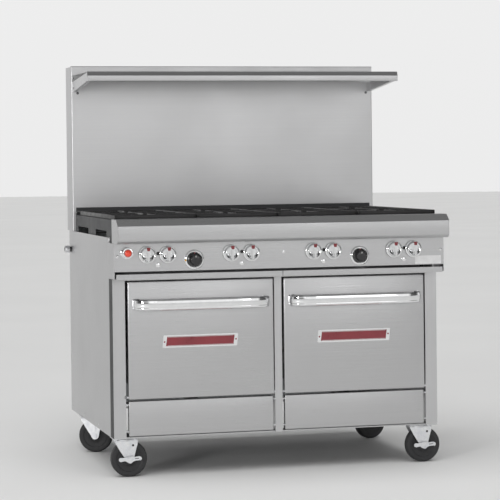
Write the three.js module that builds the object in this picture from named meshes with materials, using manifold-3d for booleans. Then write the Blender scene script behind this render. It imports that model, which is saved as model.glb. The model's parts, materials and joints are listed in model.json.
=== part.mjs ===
// Commercial gas range, eight open burners over two ovens, with a flue riser,
// a high shelf and four casters. Millimetres, +Z up, front of the range at -Y.
// The layout is drawn with y = 0 on the front plane of the door stiles and
// x = 0 on the middle stile; the outer group then moves the whole range so
// that its origin is the centre of the bottom of its bounding box.

import * as THREE from 'three';
import { mergeVertices } from 'three/addons/utils/BufferGeometryUtils.js';
import Module from 'manifold-3d';

const wasm = await Module();
wasm.setup();

// ---------------------------------------------------------------- dimensions
const HEIGHT = 1511;          // floor to top of the flue riser
const SHEET = 1.5;            // stainless sheet
const BODY_Z0 = 140;          // underside of the cabinet
const SIDE_X = 613;           // outer face of the side panels
const SIDE_Y0 = 62;           // front edge of the side panels
const SIDE_Y1 = 912;          // rear edge of the side panels, rearmost point
const SIDE_Z1 = 860;          // top edge of the side panels
const STILE_X0 = 567;         // inner edge of the outer stiles
const STILE_X1 = 612;         // outer edge of the outer stiles
const MID_STILE = 14;         // half width of the middle stile
const STILE_DEEP = 60;
const FRAME_TOP = 741;        // top of the welded frame
const RUNNER_Z0 = 706.6;      // drip tray runners and door header
const RUNNER_Z1 = 712.6;

const DOOR_C = 289.5;         // middle of a door, and of an oven
const DOOR_HW = 269.5;        // half width of a door
const DOOR_Z0 = 281, DOOR_Z1 = 703;
const DOOR_Y0 = -12, DOOR_Y1 = 30;
const SKIN_Y1 = 6;            // rear edge of the outer door skin
const HINGE_Y = -2, HINGE_Z = 289;
const ROD_R = 5;

const HANDLE_Z0 = 602, HANDLE_Z1 = 642;
const HANDLE_HW = 250;        // half length at the door face
const HANDLE_OUT = 66;        // how far the bar stands from the stile plane

const KICK_Z0 = 148, KICK_Z1 = 274, KICK_X0 = 22, KICK_X1 = 558;

const OVEN_HW = 241.5;        // half width inside an oven
const OVEN_Z0 = 324, OVEN_Z1 = 680;
const OVEN_Y0 = 32.5, OVEN_Y1 = 694;
const OVEN_T = 2;
const RACK_Z = 486;

const TRAY_Z0 = 713, TRAY_Z1 = 733, TRAY_Y0 = -74, TRAY_Y1 = 690;
const TRAY_X0 = 5, TRAY_X1 = 556;

const BOX_X = 606;            // outer face of the burner box
const BOX_T = 3;
const BOX_Z0 = 742, BOX_Z1 = 925;
const BOX_Y1 = 760;
const GRATE_W = 300, GRATE_PITCH = 303;
const GRATE_Y0 = -17, GRATE_Y1 = 701;
const GRATE_Z0 = 925.3, GRATE_Z1 = 942;
const BURNER_Y = [163, 521];
const VENTURI_Z = 850;

const PANEL_X = 618;          // half width of the control panel
const PANEL_Y = -68;          // its front face
const PANEL_Z0 = 742, PANEL_Z1 = 842.4;
const RETURN_Z0 = 716;        // lower end of its side returns
const KNOB_Z = 801;
const PAIR_X = [-461, -153.7, 153.7, 461];
const PAIR_HALF = 37.5;
const THERMO = [[-327, 780.5], [292, 780.5]];
const THERMO_Z = 780.5;
const IGNITER_X = -572, IGNITER_Z = 809;
const VALVE_Z = KNOB_Z;

const RAIL_X = 616;           // half width of the front rail
const RAIL_Y = -135;          // its front face, foremost point
const RAIL_Z0 = 842.8, RAIL_Z1 = 928;

const RISER_X = 622;          // half width of the flue riser
const RISER_Y0 = 775, RISER_Y1 = 904;
const RISER_Z0 = 954;
const SHELF_Y0 = 430, SHELF_X = 617;
const SHELF_Z0 = 1438, SHELF_Z1 = 1475;

const PIPE_END_X = -637;      // end of the gas inlet, furthest left
const PIPE_Z = 786, PIPE_X = -588, PIPE_Y1 = 884;

const WHEEL_R = 65.5, WHEEL_W = 32, TRAIL = 16;
const CASTERS = {             // kingpin x, y and resting heading in degrees
  front_left: [-570, 33, 0],
  front_right: [546, 33, 0],
  rear_left: [-572, 682, -22],
  rear_right: [555, 686, 14],
};

// ------------------------------------------------------------------- helpers
const solidOf = (geometry) => {
  const g = geometry.index ? geometry.toNonIndexed() : geometry.clone();
  g.deleteAttribute('normal');
  g.deleteAttribute('uv');
  const m = mergeVertices(g, 1e-4);
  const make = (flip) => {
    const tri = [];
    const ix = m.index.array;
    for (let i = 0; i < ix.length; i += 3) {
      const [a, b, c] = [ix[i], ix[i + 1], ix[i + 2]];
      if (a === b || b === c || a === c) continue;
      tri.push(...(flip ? [a, c, b] : [a, b, c]));
    }
    return new wasm.Manifold(new wasm.Mesh({
      numProp: 3,
      vertProperties: new Float32Array(m.attributes.position.array),
      triVerts: new Uint32Array(tri),
    }));
  };
  const s = make(false);
  return s.volume() < 0 ? make(true) : s;
};

const box = (x0, x1, y0, y1, z0, z1) => {
  const g = new THREE.BoxGeometry(Math.abs(x1 - x0), Math.abs(y1 - y0), Math.abs(z1 - z0));
  g.translate((x0 + x1) / 2, (y0 + y1) / 2, (z0 + z1) / 2);
  return solidOf(g);
};
const cylinder = (axis, a0, a1, u, v, r, n = 16, r2 = r) => {
  // along x: (u, v) = (y, z); along y: (x, z); along z: (x, y)
  const g = new THREE.CylinderGeometry(r2, r, Math.abs(a1 - a0), n, 1, false, Math.PI / n);
  const mid = (a0 + a1) / 2;
  if (axis === 'x') { g.rotateZ(-Math.PI / 2); g.translate(mid, u, v); }
  if (axis === 'y') { g.translate(u, mid, v); }
  if (axis === 'z') { g.rotateX(Math.PI / 2); g.translate(u, v, mid); }
  return solidOf(g);
};
// a closed outline in (y, z) run along x, in (x, y) run along z, or in (x, z) run along y
const prism = (axis, points, from, to) => {
  const shape = new THREE.Shape(points.map(([a, b]) => new THREE.Vector2(a, b)));
  const g = new THREE.ExtrudeGeometry(shape, { depth: to - from, bevelEnabled: false, steps: 1 });
  g.translate(0, 0, from);
  const m = new THREE.Matrix4();
  if (axis === 'x') m.set(0, 0, 1, 0, 1, 0, 0, 0, 0, 1, 0, 0, 0, 0, 0, 1);
  if (axis === 'y') m.set(1, 0, 0, 0, 0, 0, 1, 0, 0, 1, 0, 0, 0, 0, 0, 1);
  if (axis !== 'z') g.applyMatrix4(m);
  return solidOf(g);
};
// a profile of [radius, height] turned about Y; the outline closes on itself or on the axis
const lathe = (points, n, start = 0) => {
  const g = new THREE.LatheGeometry(points.map(([r, h]) => new THREE.Vector2(r, h)), n, start, Math.PI * 2);
  return solidOf(g);
};
const join = (...parts) => parts.flat().reduce((a, b) => a.add(b));
const cut = (a, ...tools) => tools.flat().reduce((s, t) => s.subtract(t), a);
const mirrorX = (solid) => {
  const m = solid.getMesh();
  const v = Float32Array.from(m.vertProperties);
  for (let i = 0; i < v.length; i += m.numProp) v[i] = -v[i];
  const t = Uint32Array.from(m.triVerts);
  for (let i = 0; i < t.length; i += 3) [t[i + 1], t[i + 2]] = [t[i + 2], t[i + 1]];
  return new wasm.Manifold(new wasm.Mesh({ numProp: m.numProp, vertProperties: v, triVerts: t }));
};
const moved = (solid, x, y, z, turn = 0) => {
  const c = Math.cos(turn), s = Math.sin(turn);
  const m = solid.getMesh();
  const v = Float32Array.from(m.vertProperties);
  for (let i = 0; i < v.length; i += m.numProp) {
    const [a, b] = [v[i], v[i + 1]];
    v[i] = c * a - s * b + x;
    v[i + 1] = s * a + c * b + y;
    v[i + 2] += z;
  }
  return new wasm.Manifold(new wasm.Mesh({ numProp: m.numProp, vertProperties: v, triVerts: Uint32Array.from(m.triVerts) }));
};

const LOOKS = {
  stainless: [0xc9cbcc, 0.34, 0.9],
  frame: [0x8d9092, 0.5, 0.8],
  boxdark: [0x4b4d4f, 0.6, 0.6],
  iron: [0x2b2b2c, 0.75, 0.4],
  chrome: [0xe6e8ea, 0.08, 1.0],
  zinc: [0xd9dcdf, 0.3, 0.9],
  enamel: [0x1d2b3a, 0.35, 0.1],
  black: [0x141415, 0.4, 0.0],
  red: [0xd0201a, 0.25, 0.0],
  brass: [0xb59b62, 0.4, 0.9],
  rubber: [0x3b3b3d, 0.8, 0.0],
  wire: [0xc2c4c6, 0.25, 0.9],
};

const range = new THREE.Group();
range.name = 'gas_range';
const node = (name, solid, look) => {
  const m = solid.getMesh();
  const g = new THREE.BufferGeometry();
  const pos = new Float32Array((m.vertProperties.length / m.numProp) * 3);
  for (let i = 0, j = 0; i < m.vertProperties.length; i += m.numProp, j += 3) {
    pos[j] = m.vertProperties[i];
    pos[j + 1] = m.vertProperties[i + 1];
    pos[j + 2] = m.vertProperties[i + 2];
  }
  g.setAttribute('position', new THREE.BufferAttribute(pos, 3));
  g.setIndex(new THREE.BufferAttribute(Uint32Array.from(m.triVerts), 1));
  g.computeVertexNormals();
  const [color, roughness, metalness] = LOOKS[look];
  const mesh = new THREE.Mesh(g, new THREE.MeshStandardMaterial({ color, roughness, metalness }));
  mesh.name = name;
  range.add(mesh);
};

// ------------------------------------------------------- welded frame, stiles
{
  const stile = (a, b) => join(
    box(a, b, 0, 2, BODY_Z0, RUNNER_Z1),
    box(a, a + 2, 0, STILE_DEEP, BODY_Z0, RUNNER_Z1),
    box(b - 2, b, 0, STILE_DEEP, BODY_Z0, RUNNER_Z1),
  );
  const base = join(
    box(-611, -540, 4, 898, 141, 145), box(540, 611, 4, 898, 141, 145),
    box(-611, 611, 4, 58, 141, 145), box(-611, 611, 860, 898, 141, 145),
    box(-20, 20, 4, 898, 141, 145),
    box(-611, -608, 62, 898, 141, 176), box(608, 611, 62, 898, 141, 176),
  );
  const top = join(
    box(-611, 611, 0.5, STILE_DEEP, RUNNER_Z0, RUNNER_Z1),
    box(-610, -562, 30, 898, RUNNER_Z0, RUNNER_Z1), box(562, 610, 30, 898, RUNNER_Z0, RUNNER_Z1),
    box(-14, 14, 30, 898, RUNNER_Z0, RUNNER_Z1),
    box(-610, 610, 860, 898, RUNNER_Z0, RUNNER_Z1),
    box(-610, -600, 10, 60, RUNNER_Z0, FRAME_TOP), box(600, 610, 10, 60, RUNNER_Z0, FRAME_TOP),
    box(-610, -600, 10, 898, FRAME_TOP - 5, FRAME_TOP), box(600, 610, 10, 898, FRAME_TOP - 5, FRAME_TOP),
    box(-610, -594, 878, 898, 141, FRAME_TOP), box(594, 610, 878, 898, 141, FRAME_TOP),
  );
  const bosses = Object.values(CASTERS).map(([x, y]) => cylinder('z', 137, 142, x, y, 15, 10));
  let frame = join(stile(-STILE_X1, -STILE_X0), stile(STILE_X0, STILE_X1), stile(-MID_STILE, MID_STILE), base, top, ...bosses);
  frame = cut(frame,
    cylinder('x', -572, -560, HINGE_Y, HINGE_Z, ROD_R + 0.8, 10),
    cylinder('z', 700, 720, -586, 90, 9, 12), cylinder('z', 700, 720, 586, 90, 9, 12));
  node('welded_frame', frame, 'frame');
}

// --------------------------------------------------------------- outer panels
{
  const side = cut(join(
    box(SIDE_X - SHEET, SIDE_X, SIDE_Y0, SIDE_Y1, BODY_Z0, SIDE_Z1),
    box(SIDE_X - 1.5, SIDE_X, SIDE_Y0, SIDE_Y0 + 2, BODY_Z0, SIDE_Z1),
    box(SIDE_X - 1.6, SIDE_X - 0.1, SIDE_Y1 - 2, SIDE_Y1, BODY_Z0, SIDE_Z1),
  ));
  node('side_panel_right', side, 'stainless');
  node('side_panel_left', cut(mirrorX(side), box(-SIDE_X - 3, -SIDE_X + 4, PIPE_Y1 - 14, SIDE_Y1 + 3, PIPE_Z - 15, PIPE_Z + 15)), 'stainless');

  const rear = prism('x', [[899.5, 150], [908, 150], [908, 151.5], [901, 151.5], [901, 930], [899.5, 930]], -610, 610);
  node('rear_panel', rear, 'stainless');

  const kick = cut(box(KICK_X0, KICK_X1, -4, 14, KICK_Z0, KICK_Z1),
    box(KICK_X0 + SHEET, KICK_X1 - SHEET, -4 + SHEET, 20, KICK_Z0 + SHEET, KICK_Z1 - SHEET));
  node('kick_panel_right', kick, 'stainless');
  node('kick_panel_left', mirrorX(kick), 'stainless');
}

// ----------------------------------------------------------------- burner box
{
  const wall = cut(
    box(BOX_X - BOX_T, BOX_X, -16, 772, BOX_Z0, BOX_Z1),
    box(BOX_X - 10, BOX_X + 10, 134, 356, 856, 882),
    box(BOX_X - 10, BOX_X + 10, 510, 740, 856, 882),
  );
  const inner = BOX_X - 1;
  let b = join(
    wall, mirrorX(wall),
    box(-inner, inner, -16, -13, 880, BOX_Z1),
    box(-inner, inner, 704, 707, 880, 941),
    box(-inner, inner, 704, 774, 938, 941),
    box(-inner, inner, 771, 774, 880, 953),
    box(-inner, inner, 120, 132, 862, 868),
    box(-inner, inner, 470, 482, 862, 868),
    ...[-GRATE_PITCH, 0, GRATE_PITCH].map((x) => box(x - 1.5, x + 1.5, -14, 705, 900, BOX_Z1)),
  );
  node('burner_box', b, 'boxdark');
}

// ------------------------------------------------------------------ burners
PAIR_X.forEach((px, i) => {
  const c = (i - 1.5) * GRATE_PITCH;
  const head = (y) => moved(join(
    lathe([[0, -34], [24, -34], [24, -14], [50, -2], [50, 14], [44, 20], [0, 20]], 14),
  ), 0, 0, 0);
  const upright = (s) => {   // turn the lathe's axis to Z
    const m = s.getMesh();
    const v = Float32Array.from(m.vertProperties);
    for (let k = 0; k < v.length; k += m.numProp) { const [y, z] = [v[k + 1], v[k + 2]]; v[k + 1] = -z; v[k + 2] = y; }
    return new wasm.Manifold(new wasm.Mesh({ numProp: m.numProp, vertProperties: v, triVerts: Uint32Array.from(m.triVerts) }));
  };
  const h = upright(head());
  const xs = [px - PAIR_HALF, px + PAIR_HALF];
  const b = join(
    moved(h, c, BURNER_Y[0], 884), moved(h, c, BURNER_Y[1], 884),
    cylinder('y', -4, BURNER_Y[0], xs[0], VENTURI_Z, 11, 8),
    cylinder('y', -12, -3, xs[0], VENTURI_Z, 17, 8),
    box(xs[0] - 8, c + 8, BURNER_Y[0] - 14, BURNER_Y[0] + 14, VENTURI_Z - 10, VENTURI_Z + 8),
    cylinder('y', -4, BURNER_Y[1], xs[1], VENTURI_Z, 11, 8),
    cylinder('y', -12, -3, xs[1], VENTURI_Z, 17, 8),
    box(c - 8, xs[1] + 8, BURNER_Y[1] - 14, BURNER_Y[1] + 14, VENTURI_Z - 10, VENTURI_Z + 8),
    box(xs[0], xs[1], 60, 72, VENTURI_Z - 4, VENTURI_Z + 4),
  );
  node(`burner_pair_${i + 1}`, b, 'iron');
});

// -------------------------------------------------------------------- grates
for (let i = 0; i < 4; i++) {
  const c = (i - 1.5) * GRATE_PITCH, hw = GRATE_W / 2, mid = (GRATE_Y0 + GRATE_Y1) / 2;
  const bar = (x0, x1, y0, y1, z0 = GRATE_Z0) => box(x0, x1, y0, y1, z0, GRATE_Z1);
  const parts = [
    bar(-hw, -hw + 10, GRATE_Y0, GRATE_Y1), bar(hw - 10, hw, GRATE_Y0, GRATE_Y1),
    bar(-hw, hw, GRATE_Y0, GRATE_Y0 + 10), bar(-hw, hw, GRATE_Y1 - 10, GRATE_Y1), bar(-hw, hw, mid - 5, mid + 5),
  ];
  for (const y of BURNER_Y) {
    parts.push(
      bar(-hw + 5, -34, y - 4.5, y + 4.5, 929), bar(34, hw - 5, y - 4.5, y + 4.5, 929),
      bar(-4.5, 4.5, y - 178, y - 34, 929), bar(-4.5, 4.5, y + 34, y + 178, 929),
    );
    for (const a of [45, 135, 225, 315]) {
      const arm = box(52, 215, -4.5, 4.5, 929, GRATE_Z1);
      parts.push(moved(arm, 0, y, 0, a * Math.PI / 180));
    }
  }
  const clip = box(-hw, hw, GRATE_Y0, GRATE_Y1, 900, 960);
  let g = join(...parts).intersect(clip);
  node(`grate_${i + 1}`, moved(g, c, 0, 0), 'iron');
}

// ---------------------------------------------------------------- front rail
{
  const outer = [[-20, RAIL_Z1], [-108, RAIL_Z1], [-120, 925], [RAIL_Y, 907], [RAIL_Y, 857], [-131, 849], [-122, RAIL_Z0], [-20, RAIL_Z0]];
  const inner = [[-10, RAIL_Z1 - 1.6], [-107.4, RAIL_Z1 - 1.6], [-119, 923.4], [RAIL_Y + 1.6, 906.2], [RAIL_Y + 1.6, 857.6], [-129.8, 850.2], [-121.4, RAIL_Z0 + 1.6], [-10, RAIL_Z0 + 1.6]];
  node('front_rail', cut(prism('x', outer, -RAIL_X, RAIL_X), prism('x', inner, -RAIL_X + 1.6, RAIL_X - 1.6),
    box(-RAIL_X + 1.6, RAIL_X - 1.6, -54, 0, 830, RAIL_Z1 - 1.6)), 'stainless');
}

// ------------------------------------------------------------- control panel
{
  const tube = cut(cylinder('y', PANEL_Y - 24, PANEL_Y + 1, IGNITER_X, IGNITER_Z, 18, 16));
  let p = join(
    box(-PANEL_X, PANEL_X, PANEL_Y, PANEL_Y + SHEET, PANEL_Z0, PANEL_Z1),
    box(-PANEL_X, PANEL_X, PANEL_Y, PANEL_Y + 16, PANEL_Z1 - SHEET, PANEL_Z1),
    box(-PANEL_X, PANEL_X, PANEL_Y, PANEL_Y + 12, PANEL_Z0, PANEL_Z0 + SHEET),
    box(-PANEL_X, -PANEL_X + SHEET, PANEL_Y, 58, RETURN_Z0, PANEL_Z1),
    box(PANEL_X - SHEET, PANEL_X, PANEL_Y, 58, RETURN_Z0, PANEL_Z1),
    tube,
  );
  const holes = [];
  for (const px of PAIR_X) {
    for (const s of [-1, 1]) holes.push(cylinder('y', -80, -60, px + s * PAIR_HALF, KNOB_Z, 6.5, 8));
    holes.push(cylinder('y', -80, -60, px + 3, KNOB_Z + 4, 5, 8));
  }
  for (const [x, z] of THERMO) holes.push(cylinder('y', -80, -60, x, z, 7, 8));
  holes.push(cylinder('y', -100, -50, IGNITER_X, IGNITER_Z, 12.8, 16));
  node('control_panel', cut(p, ...holes), 'stainless');
}

// ------------------------------------------------------------ gas supply pipe
{
  const parts = [
    cylinder('x', PIPE_X, 586, -8, VALVE_Z, 13, 10),
    cylinder('y', -8, PIPE_Y1, PIPE_X, PIPE_Z, 11, 10),
    box(PIPE_X - 10, PIPE_X + 12, -20, 6, PIPE_Z - 8, VALVE_Z + 8),
    cylinder('x', PIPE_END_X, PIPE_X, PIPE_Y1, PIPE_Z, 10.5, 10),
    cylinder('z', 250, PIPE_Z, -586, 90, 6, 8),
    cylinder('x', -586, -DOOR_C - 14, 90, 256, 6, 8),
    cylinder('y', -8, 90, 586, VALVE_Z, 8, 8),
    cylinder('z', 250, VALVE_Z, 586, 90, 6, 8),
    cylinder('x', DOOR_C + 14, 586, 90, 256, 6, 8),
  ];
  for (const px of PAIR_X) for (const s of [-1, 1]) {
    const x = px + s * PAIR_HALF;
    parts.push(
      box(x - 11, x + 11, -52, -2, VALVE_Z - 10, VALVE_Z + 10),
      cylinder('y', -84, -50, x, KNOB_Z, 4, 8),
      box(x - 5, x + 5, -40, -28, VALVE_Z, VENTURI_Z + 5),
      box(x - 4, x + 4, -32, -14, VENTURI_Z - 4, VENTURI_Z + 4),
    );
  }
  for (const [x, z] of THERMO) parts.push(
    box(x - 16, x + 16, -56, -2, z - 18, z + 14),
    cylinder('y', -84, -54, x, z, 4, 8),
  );
  const bore = cylinder('x', PIPE_END_X - 5, PIPE_END_X + 30, PIPE_Y1, PIPE_Z, 7, 10);
  node('gas_pipe', cut(join(...parts), bore), 'brass');
}

// --------------------------------------------------------------------- knobs
const knobAt = (profile, n, extra, bore, x, y, z) => {
  // drawn with its outward axis along +Y, then turned to face the front
  const s = cut(join(lathe(profile, n), ...extra), cylinder('y', -1, bore, 0, 0, 4.8, 8));
  const m = s.getMesh();
  const v = Float32Array.from(m.vertProperties);
  for (let k = 0; k < v.length; k += m.numProp) { v[k] = -v[k] + x; v[k + 1] = -v[k + 1] + y; v[k + 2] += z; }
  return new wasm.Manifold(new wasm.Mesh({ numProp: m.numProp, vertProperties: v, triVerts: Uint32Array.from(m.triVerts) }));
};
{
  const knob = [[0, 0], [31, 0], [31, 4], [26.5, 7], [24, 17], [0, 17]];
  const blade = prism('y', [[-7, -24], [7, -24], [6, 25], [3, 29], [-3, 29], [-6, 25]], 8, 29);
  PAIR_X.forEach((px, i) => [-1, 1].forEach((s, j) => {
    node(`burner_knob_${2 * i + j + 1}`, knobAt(knob, 20, [blade], 15, px + s * PAIR_HALF, PANEL_Y - 2.5, KNOB_Z), 'chrome');
  }));
  const dial = [[0, 0], [27, 0], [27, 5], [18, 9], [17, 26], [14, 28], [0, 28]];
  const grip = prism('y', [[-4, 6], [4, 6], [2.5, 25], [-2.5, 25]], 4, 12);
  THERMO.forEach(([x, z], i) => {
    node(`thermostat_knob_${i ? 'right' : 'left'}`, knobAt(dial, 20, [grip], 15, x, PANEL_Y - 2.5, z), 'black');
  });
  const button = join(
    lathe([[0, -8], [5, -8], [5, 8], [12, 8], [12, 31], [9.5, 35], [0, 36]], 16),
  );
  const m = button.getMesh();
  const v = Float32Array.from(m.vertProperties);
  for (let k = 0; k < v.length; k += m.numProp) { v[k] = -v[k] + IGNITER_X; v[k + 1] = -v[k + 1] + PANEL_Y; v[k + 2] += IGNITER_Z; }
  node('igniter_button', new wasm.Manifold(new wasm.Mesh({ numProp: m.numProp, vertProperties: v, triVerts: Uint32Array.from(m.triVerts) })), 'red');
}

// ---------------------------------------------------------------- drip trays
{
  const tray = join(
    cut(box(TRAY_X0, TRAY_X1, TRAY_Y0 + 1, TRAY_Y1, TRAY_Z0, TRAY_Z1 - 2),
      box(TRAY_X0 + SHEET, TRAY_X1 - SHEET, TRAY_Y0 + 4, TRAY_Y1 - SHEET, TRAY_Z0 + SHEET, TRAY_Z1 + 5)),
    box(1, 611, TRAY_Y0, TRAY_Y0 + 3, TRAY_Z0, TRAY_Z1),
  );
  node('drip_tray_right', tray, 'stainless');
  node('drip_tray_left', mirrorX(tray), 'stainless');
}

// --------------------------------------------------------------------- ovens
for (const [side, sx] of [['left', -1], ['right', 1]]) {
  const c = sx * DOOR_C;
  const hw = OVEN_HW, t = OVEN_T;
  const ledge = (s, z) => box(c + s * hw, c + s * (hw - 12), 40, OVEN_Y1 - 1, z - 6, z);
  let cavity = cut(join(
    box(c - hw - t, c + hw + t, OVEN_Y0, OVEN_Y1 + t, OVEN_Z0 - t, OVEN_Z1 + t),
    box(c - 258, c + 258, OVEN_Y0, OVEN_Y0 + t, 300, 702),
  ), box(c - hw, c + hw, OVEN_Y0 - 5, OVEN_Y1, OVEN_Z0, OVEN_Z1));
  cavity = join(cavity, ledge(-1, RACK_Z - 4), ledge(1, RACK_Z - 4));
  node(`oven_cavity_${side}`, cavity, 'enamel');

  const y0 = 62, y1 = 662, rw = hw - 3;
  const bars = [
    box(c - rw, c - rw + 6, y0, y1, RACK_Z - 3, RACK_Z + 3), box(c + rw - 6, c + rw, y0, y1, RACK_Z - 3, RACK_Z + 3),
    box(c - rw, c + rw, y0, y0 + 6, RACK_Z - 3, RACK_Z + 3), box(c - rw, c + rw, y1 - 6, y1, RACK_Z - 3, RACK_Z + 3),
    box(c - rw, c + rw, 360, 366, RACK_Z - 3, RACK_Z + 3),
  ];
  for (let k = 1; k < 8; k++) {
    const x = c - rw + (2 * rw * k) / 8;
    bars.push(box(x - 2, x + 2, y0 + 1, y1 - 1, RACK_Z - 1, RACK_Z + 3));
  }
  node(`oven_rack_${side}`, join(...bars), 'wire');

  node(`oven_burner_${side}`, join(
    cylinder('y', 76, 620, c, 256, 13, 12),
    box(c - 120, c + 120, 330, 354, 248, 262),
  ), 'iron');

  // door: outer skin, inner liner, handle, and the rod it turns on
  const x0 = c - DOOR_HW, x1 = c + DOOR_HW;
  const rodHole = () => cylinder('x', x0 - 10, x1 + 10, HINGE_Y, HINGE_Z, ROD_R + 0.8, 10);
  node(`door_skin_${side}`, cut(
    box(x0, x1, DOOR_Y0, SKIN_Y1, DOOR_Z0, DOOR_Z1),
    box(x0 + SHEET, x1 - SHEET, DOOR_Y0 + SHEET, SKIN_Y1 + 4, DOOR_Z0 + SHEET, DOOR_Z1 - SHEET),
    rodHole()), 'stainless');
  node(`door_liner_${side}`, cut(
    box(x0 + 6, x1 - 6, SKIN_Y1 + 0.4, DOOR_Y1, DOOR_Z0 + 2, DOOR_Z1 - 2),
    box(x0 + 6 + SHEET, x1 - 6 - SHEET, SKIN_Y1 - 4, DOOR_Y1 - SHEET, DOOR_Z0 + 2 + SHEET, DOOR_Z1 - 2 - SHEET)), 'enamel');
  node(`door_hinge_rod_${side}`, cylinder('x', sx > 0 ? 15 : -566, sx > 0 ? 566 : -15, HINGE_Y, HINGE_Z, ROD_R, 10), 'zinc');

  // handle: a flat strap, its two ends sweeping back to the door
  const out = [], inn = [];
  const R = 62, t2 = 4, yb = DOOR_Y0 - 0.3;
  const L = HANDLE_HW;
  const curve = [[-L, yb], [-L + 3, yb - 12], [-L + 12, yb - 26], [-L + 26, yb - 38], [-L + 46, yb - 47], [-L + 72, yb - 52], [-L + 100, -HANDLE_OUT]];
  const curve2 = [[-L + 8, yb], [-L + 9, yb - 9], [-L + 16, yb - 21], [-L + 29, yb - 33], [-L + 48, yb - 42], [-L + 73, yb - 47.5], [-L + 100, -HANDLE_OUT + t2]];
  const full = [...curve, ...curve.slice().reverse().map(([x, y]) => [-x, y]), ...curve2.map(([x, y]) => [-x, y]), ...curve2.slice().reverse()];
  const flange = (s) => box(c + s * (L - 16), c + s * L, yb - 3, yb, HANDLE_Z0, HANDLE_Z1);
  node(`door_handle_${side}`, join(
    prism('z', full.map(([x, y]) => [x + c, y]), HANDLE_Z0, HANDLE_Z1),
    flange(-1), flange(1)), 'chrome');
}

// -------------------------------------------------------------- flue and shelf
{
  node('riser_front_panel', join(
    box(-RISER_X, RISER_X, RISER_Y0, RISER_Y0 + SHEET, RISER_Z0, HEIGHT),
    box(-RISER_X, -RISER_X + SHEET, RISER_Y0, RISER_Y1 - 6, 862, HEIGHT),
    box(RISER_X - SHEET, RISER_X, RISER_Y0, RISER_Y1 - 6, 862, HEIGHT),
    box(-RISER_X, -BOX_X - 1.5, RISER_Y0, RISER_Y0 + SHEET, 862, RISER_Z0 + 1),
    box(BOX_X + 1.5, RISER_X, RISER_Y0, RISER_Y0 + SHEET, 862, RISER_Z0 + 1),
    box(-RISER_X, RISER_X, RISER_Y0, RISER_Y0 + 14, HEIGHT - SHEET, HEIGHT),
  ), 'stainless');
  node('riser_back_panel', join(
    box(-RISER_X + 2.5, RISER_X - 2.5, RISER_Y1 - SHEET, RISER_Y1, 932, HEIGHT - 3),
    box(-RISER_X + 2.5, RISER_X - 2.5, RISER_Y1 - 12, RISER_Y1, HEIGHT - 3 - SHEET, HEIGHT - 3),
  ), 'stainless');
  const y1 = RISER_Y0 - 0.4;
  node('high_shelf', join(
    box(-SHELF_X, SHELF_X, SHELF_Y0 + 4, y1, SHELF_Z1 - SHEET, SHELF_Z1),
    prism('x', [[SHELF_Y0 + 7, SHELF_Z1], [SHELF_Y0, 1459], [SHELF_Y0, SHELF_Z0], [SHELF_Y0 + 14, SHELF_Z0], [SHELF_Y0 + 14, SHELF_Z0 + 1.5],
      [SHELF_Y0 + 1.6, SHELF_Z0 + 1.5], [SHELF_Y0 + 1.6, 1458.6], [SHELF_Y0 + 8.4, SHELF_Z1 - 0.6]], -SHELF_X, SHELF_X),
    box(-SHELF_X, SHELF_X, y1 - SHEET, y1, SHELF_Z1 - 24, SHELF_Z1),
  ), 'stainless');
  const bracket = prism('x', [[SHELF_Y0 + 16, SHELF_Z0 + 2], [y1, 1409], [y1, SHELF_Z1 - 26], [SHELF_Y0 + 16, SHELF_Z1 - 3]], SHELF_X - 4, SHELF_X - 2);
  const lower = prism('x', [[SHELF_Y0 + 16, SHELF_Z0 + 2], [y1, 1409], [y1, 1411.2], [SHELF_Y0 + 16, SHELF_Z0 + 4.2]], SHELF_X - 16, SHELF_X - 2.5);
  const tab = box(SHELF_X - 18, SHELF_X - 2.5, y1 - SHEET, y1, 1409.5, SHELF_Z1 - 26.5);
  const br = join(bracket, lower, tab);
  node('shelf_bracket_right', br, 'stainless');
  node('shelf_bracket_left', mirrorX(br), 'stainless');
}

// -------------------------------------------------------------------- casters
{
  const n = 28, k = 1 / Math.cos(Math.PI / n), W = WHEEL_W / 2, R = WHEEL_R * k;
  const wheel = lathe([[6.5, -W - 2], [15, -W - 2], [16, -W + 3], [46, -W], [R - 4, -W], [R, -W + 5],
    [R, W - 5], [R - 4, W], [46, W], [16, W - 3], [15, W + 2], [6.5, W + 2], [6.5, -W - 2]], n, Math.PI / n);
  const leg = [[-40, 136.4], [46, 136.4], [45, 122], [41, 108], [36, 94], [33, 80], [31, 64], [26, 55], [20, 50.5], [12, 50.5], [6, 55], [1, 64], [-12, 80], [-24, 102]];
  const fork = join(
    box(-40, 45, -23, 23, 133.4, 136.4),
    prism('y', leg, -23, -20), prism('y', leg, 20, 23),
    cylinder('y', -28, 28, TRAIL, WHEEL_R, 6, 10),
    cylinder('y', -28, -22, TRAIL, WHEEL_R, 10, 8), cylinder('y', 22, 28, TRAIL, WHEEL_R, 10, 8),
  );
  const lever = join(
    prism('y', [[-25, 60], [-20, 57], [8, 59], [24, 59], [50, 60], [56, 64], [56, 74], [50, 77.5], [24, 76], [8, 75], [-20, 73], [-25, 70]], -32, -28.4),
    prism('y', [[50, 60], [56, 64], [56, 74], [50, 77.5]], -40, -28.4),
  );
  for (const [name, [x, y, deg]] of Object.entries(CASTERS)) {
    const a = deg * Math.PI / 180;
    node(`caster_fork_${name}`, moved(fork, x, y, 0, a), 'zinc');
    node(`caster_wheel_${name}`, moved(moved(wheel, TRAIL, 0, WHEEL_R), x, y, 0, a), 'rubber');
    if (name.startsWith('front')) node(`brake_lever_${name}`, moved(lever, x, y, 0, a), 'zinc');
  }
}

// the origin is the middle of the underside of the bounding box
const extent = new THREE.Box3().setFromObject(range);
range.position.set(-(extent.min.x + extent.max.x) / 2, -(extent.min.y + extent.max.y) / 2, -extent.min.z);

export default range;
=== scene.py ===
import json
import math
import bmesh
import bpy
from mathutils import Matrix, Vector

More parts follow.
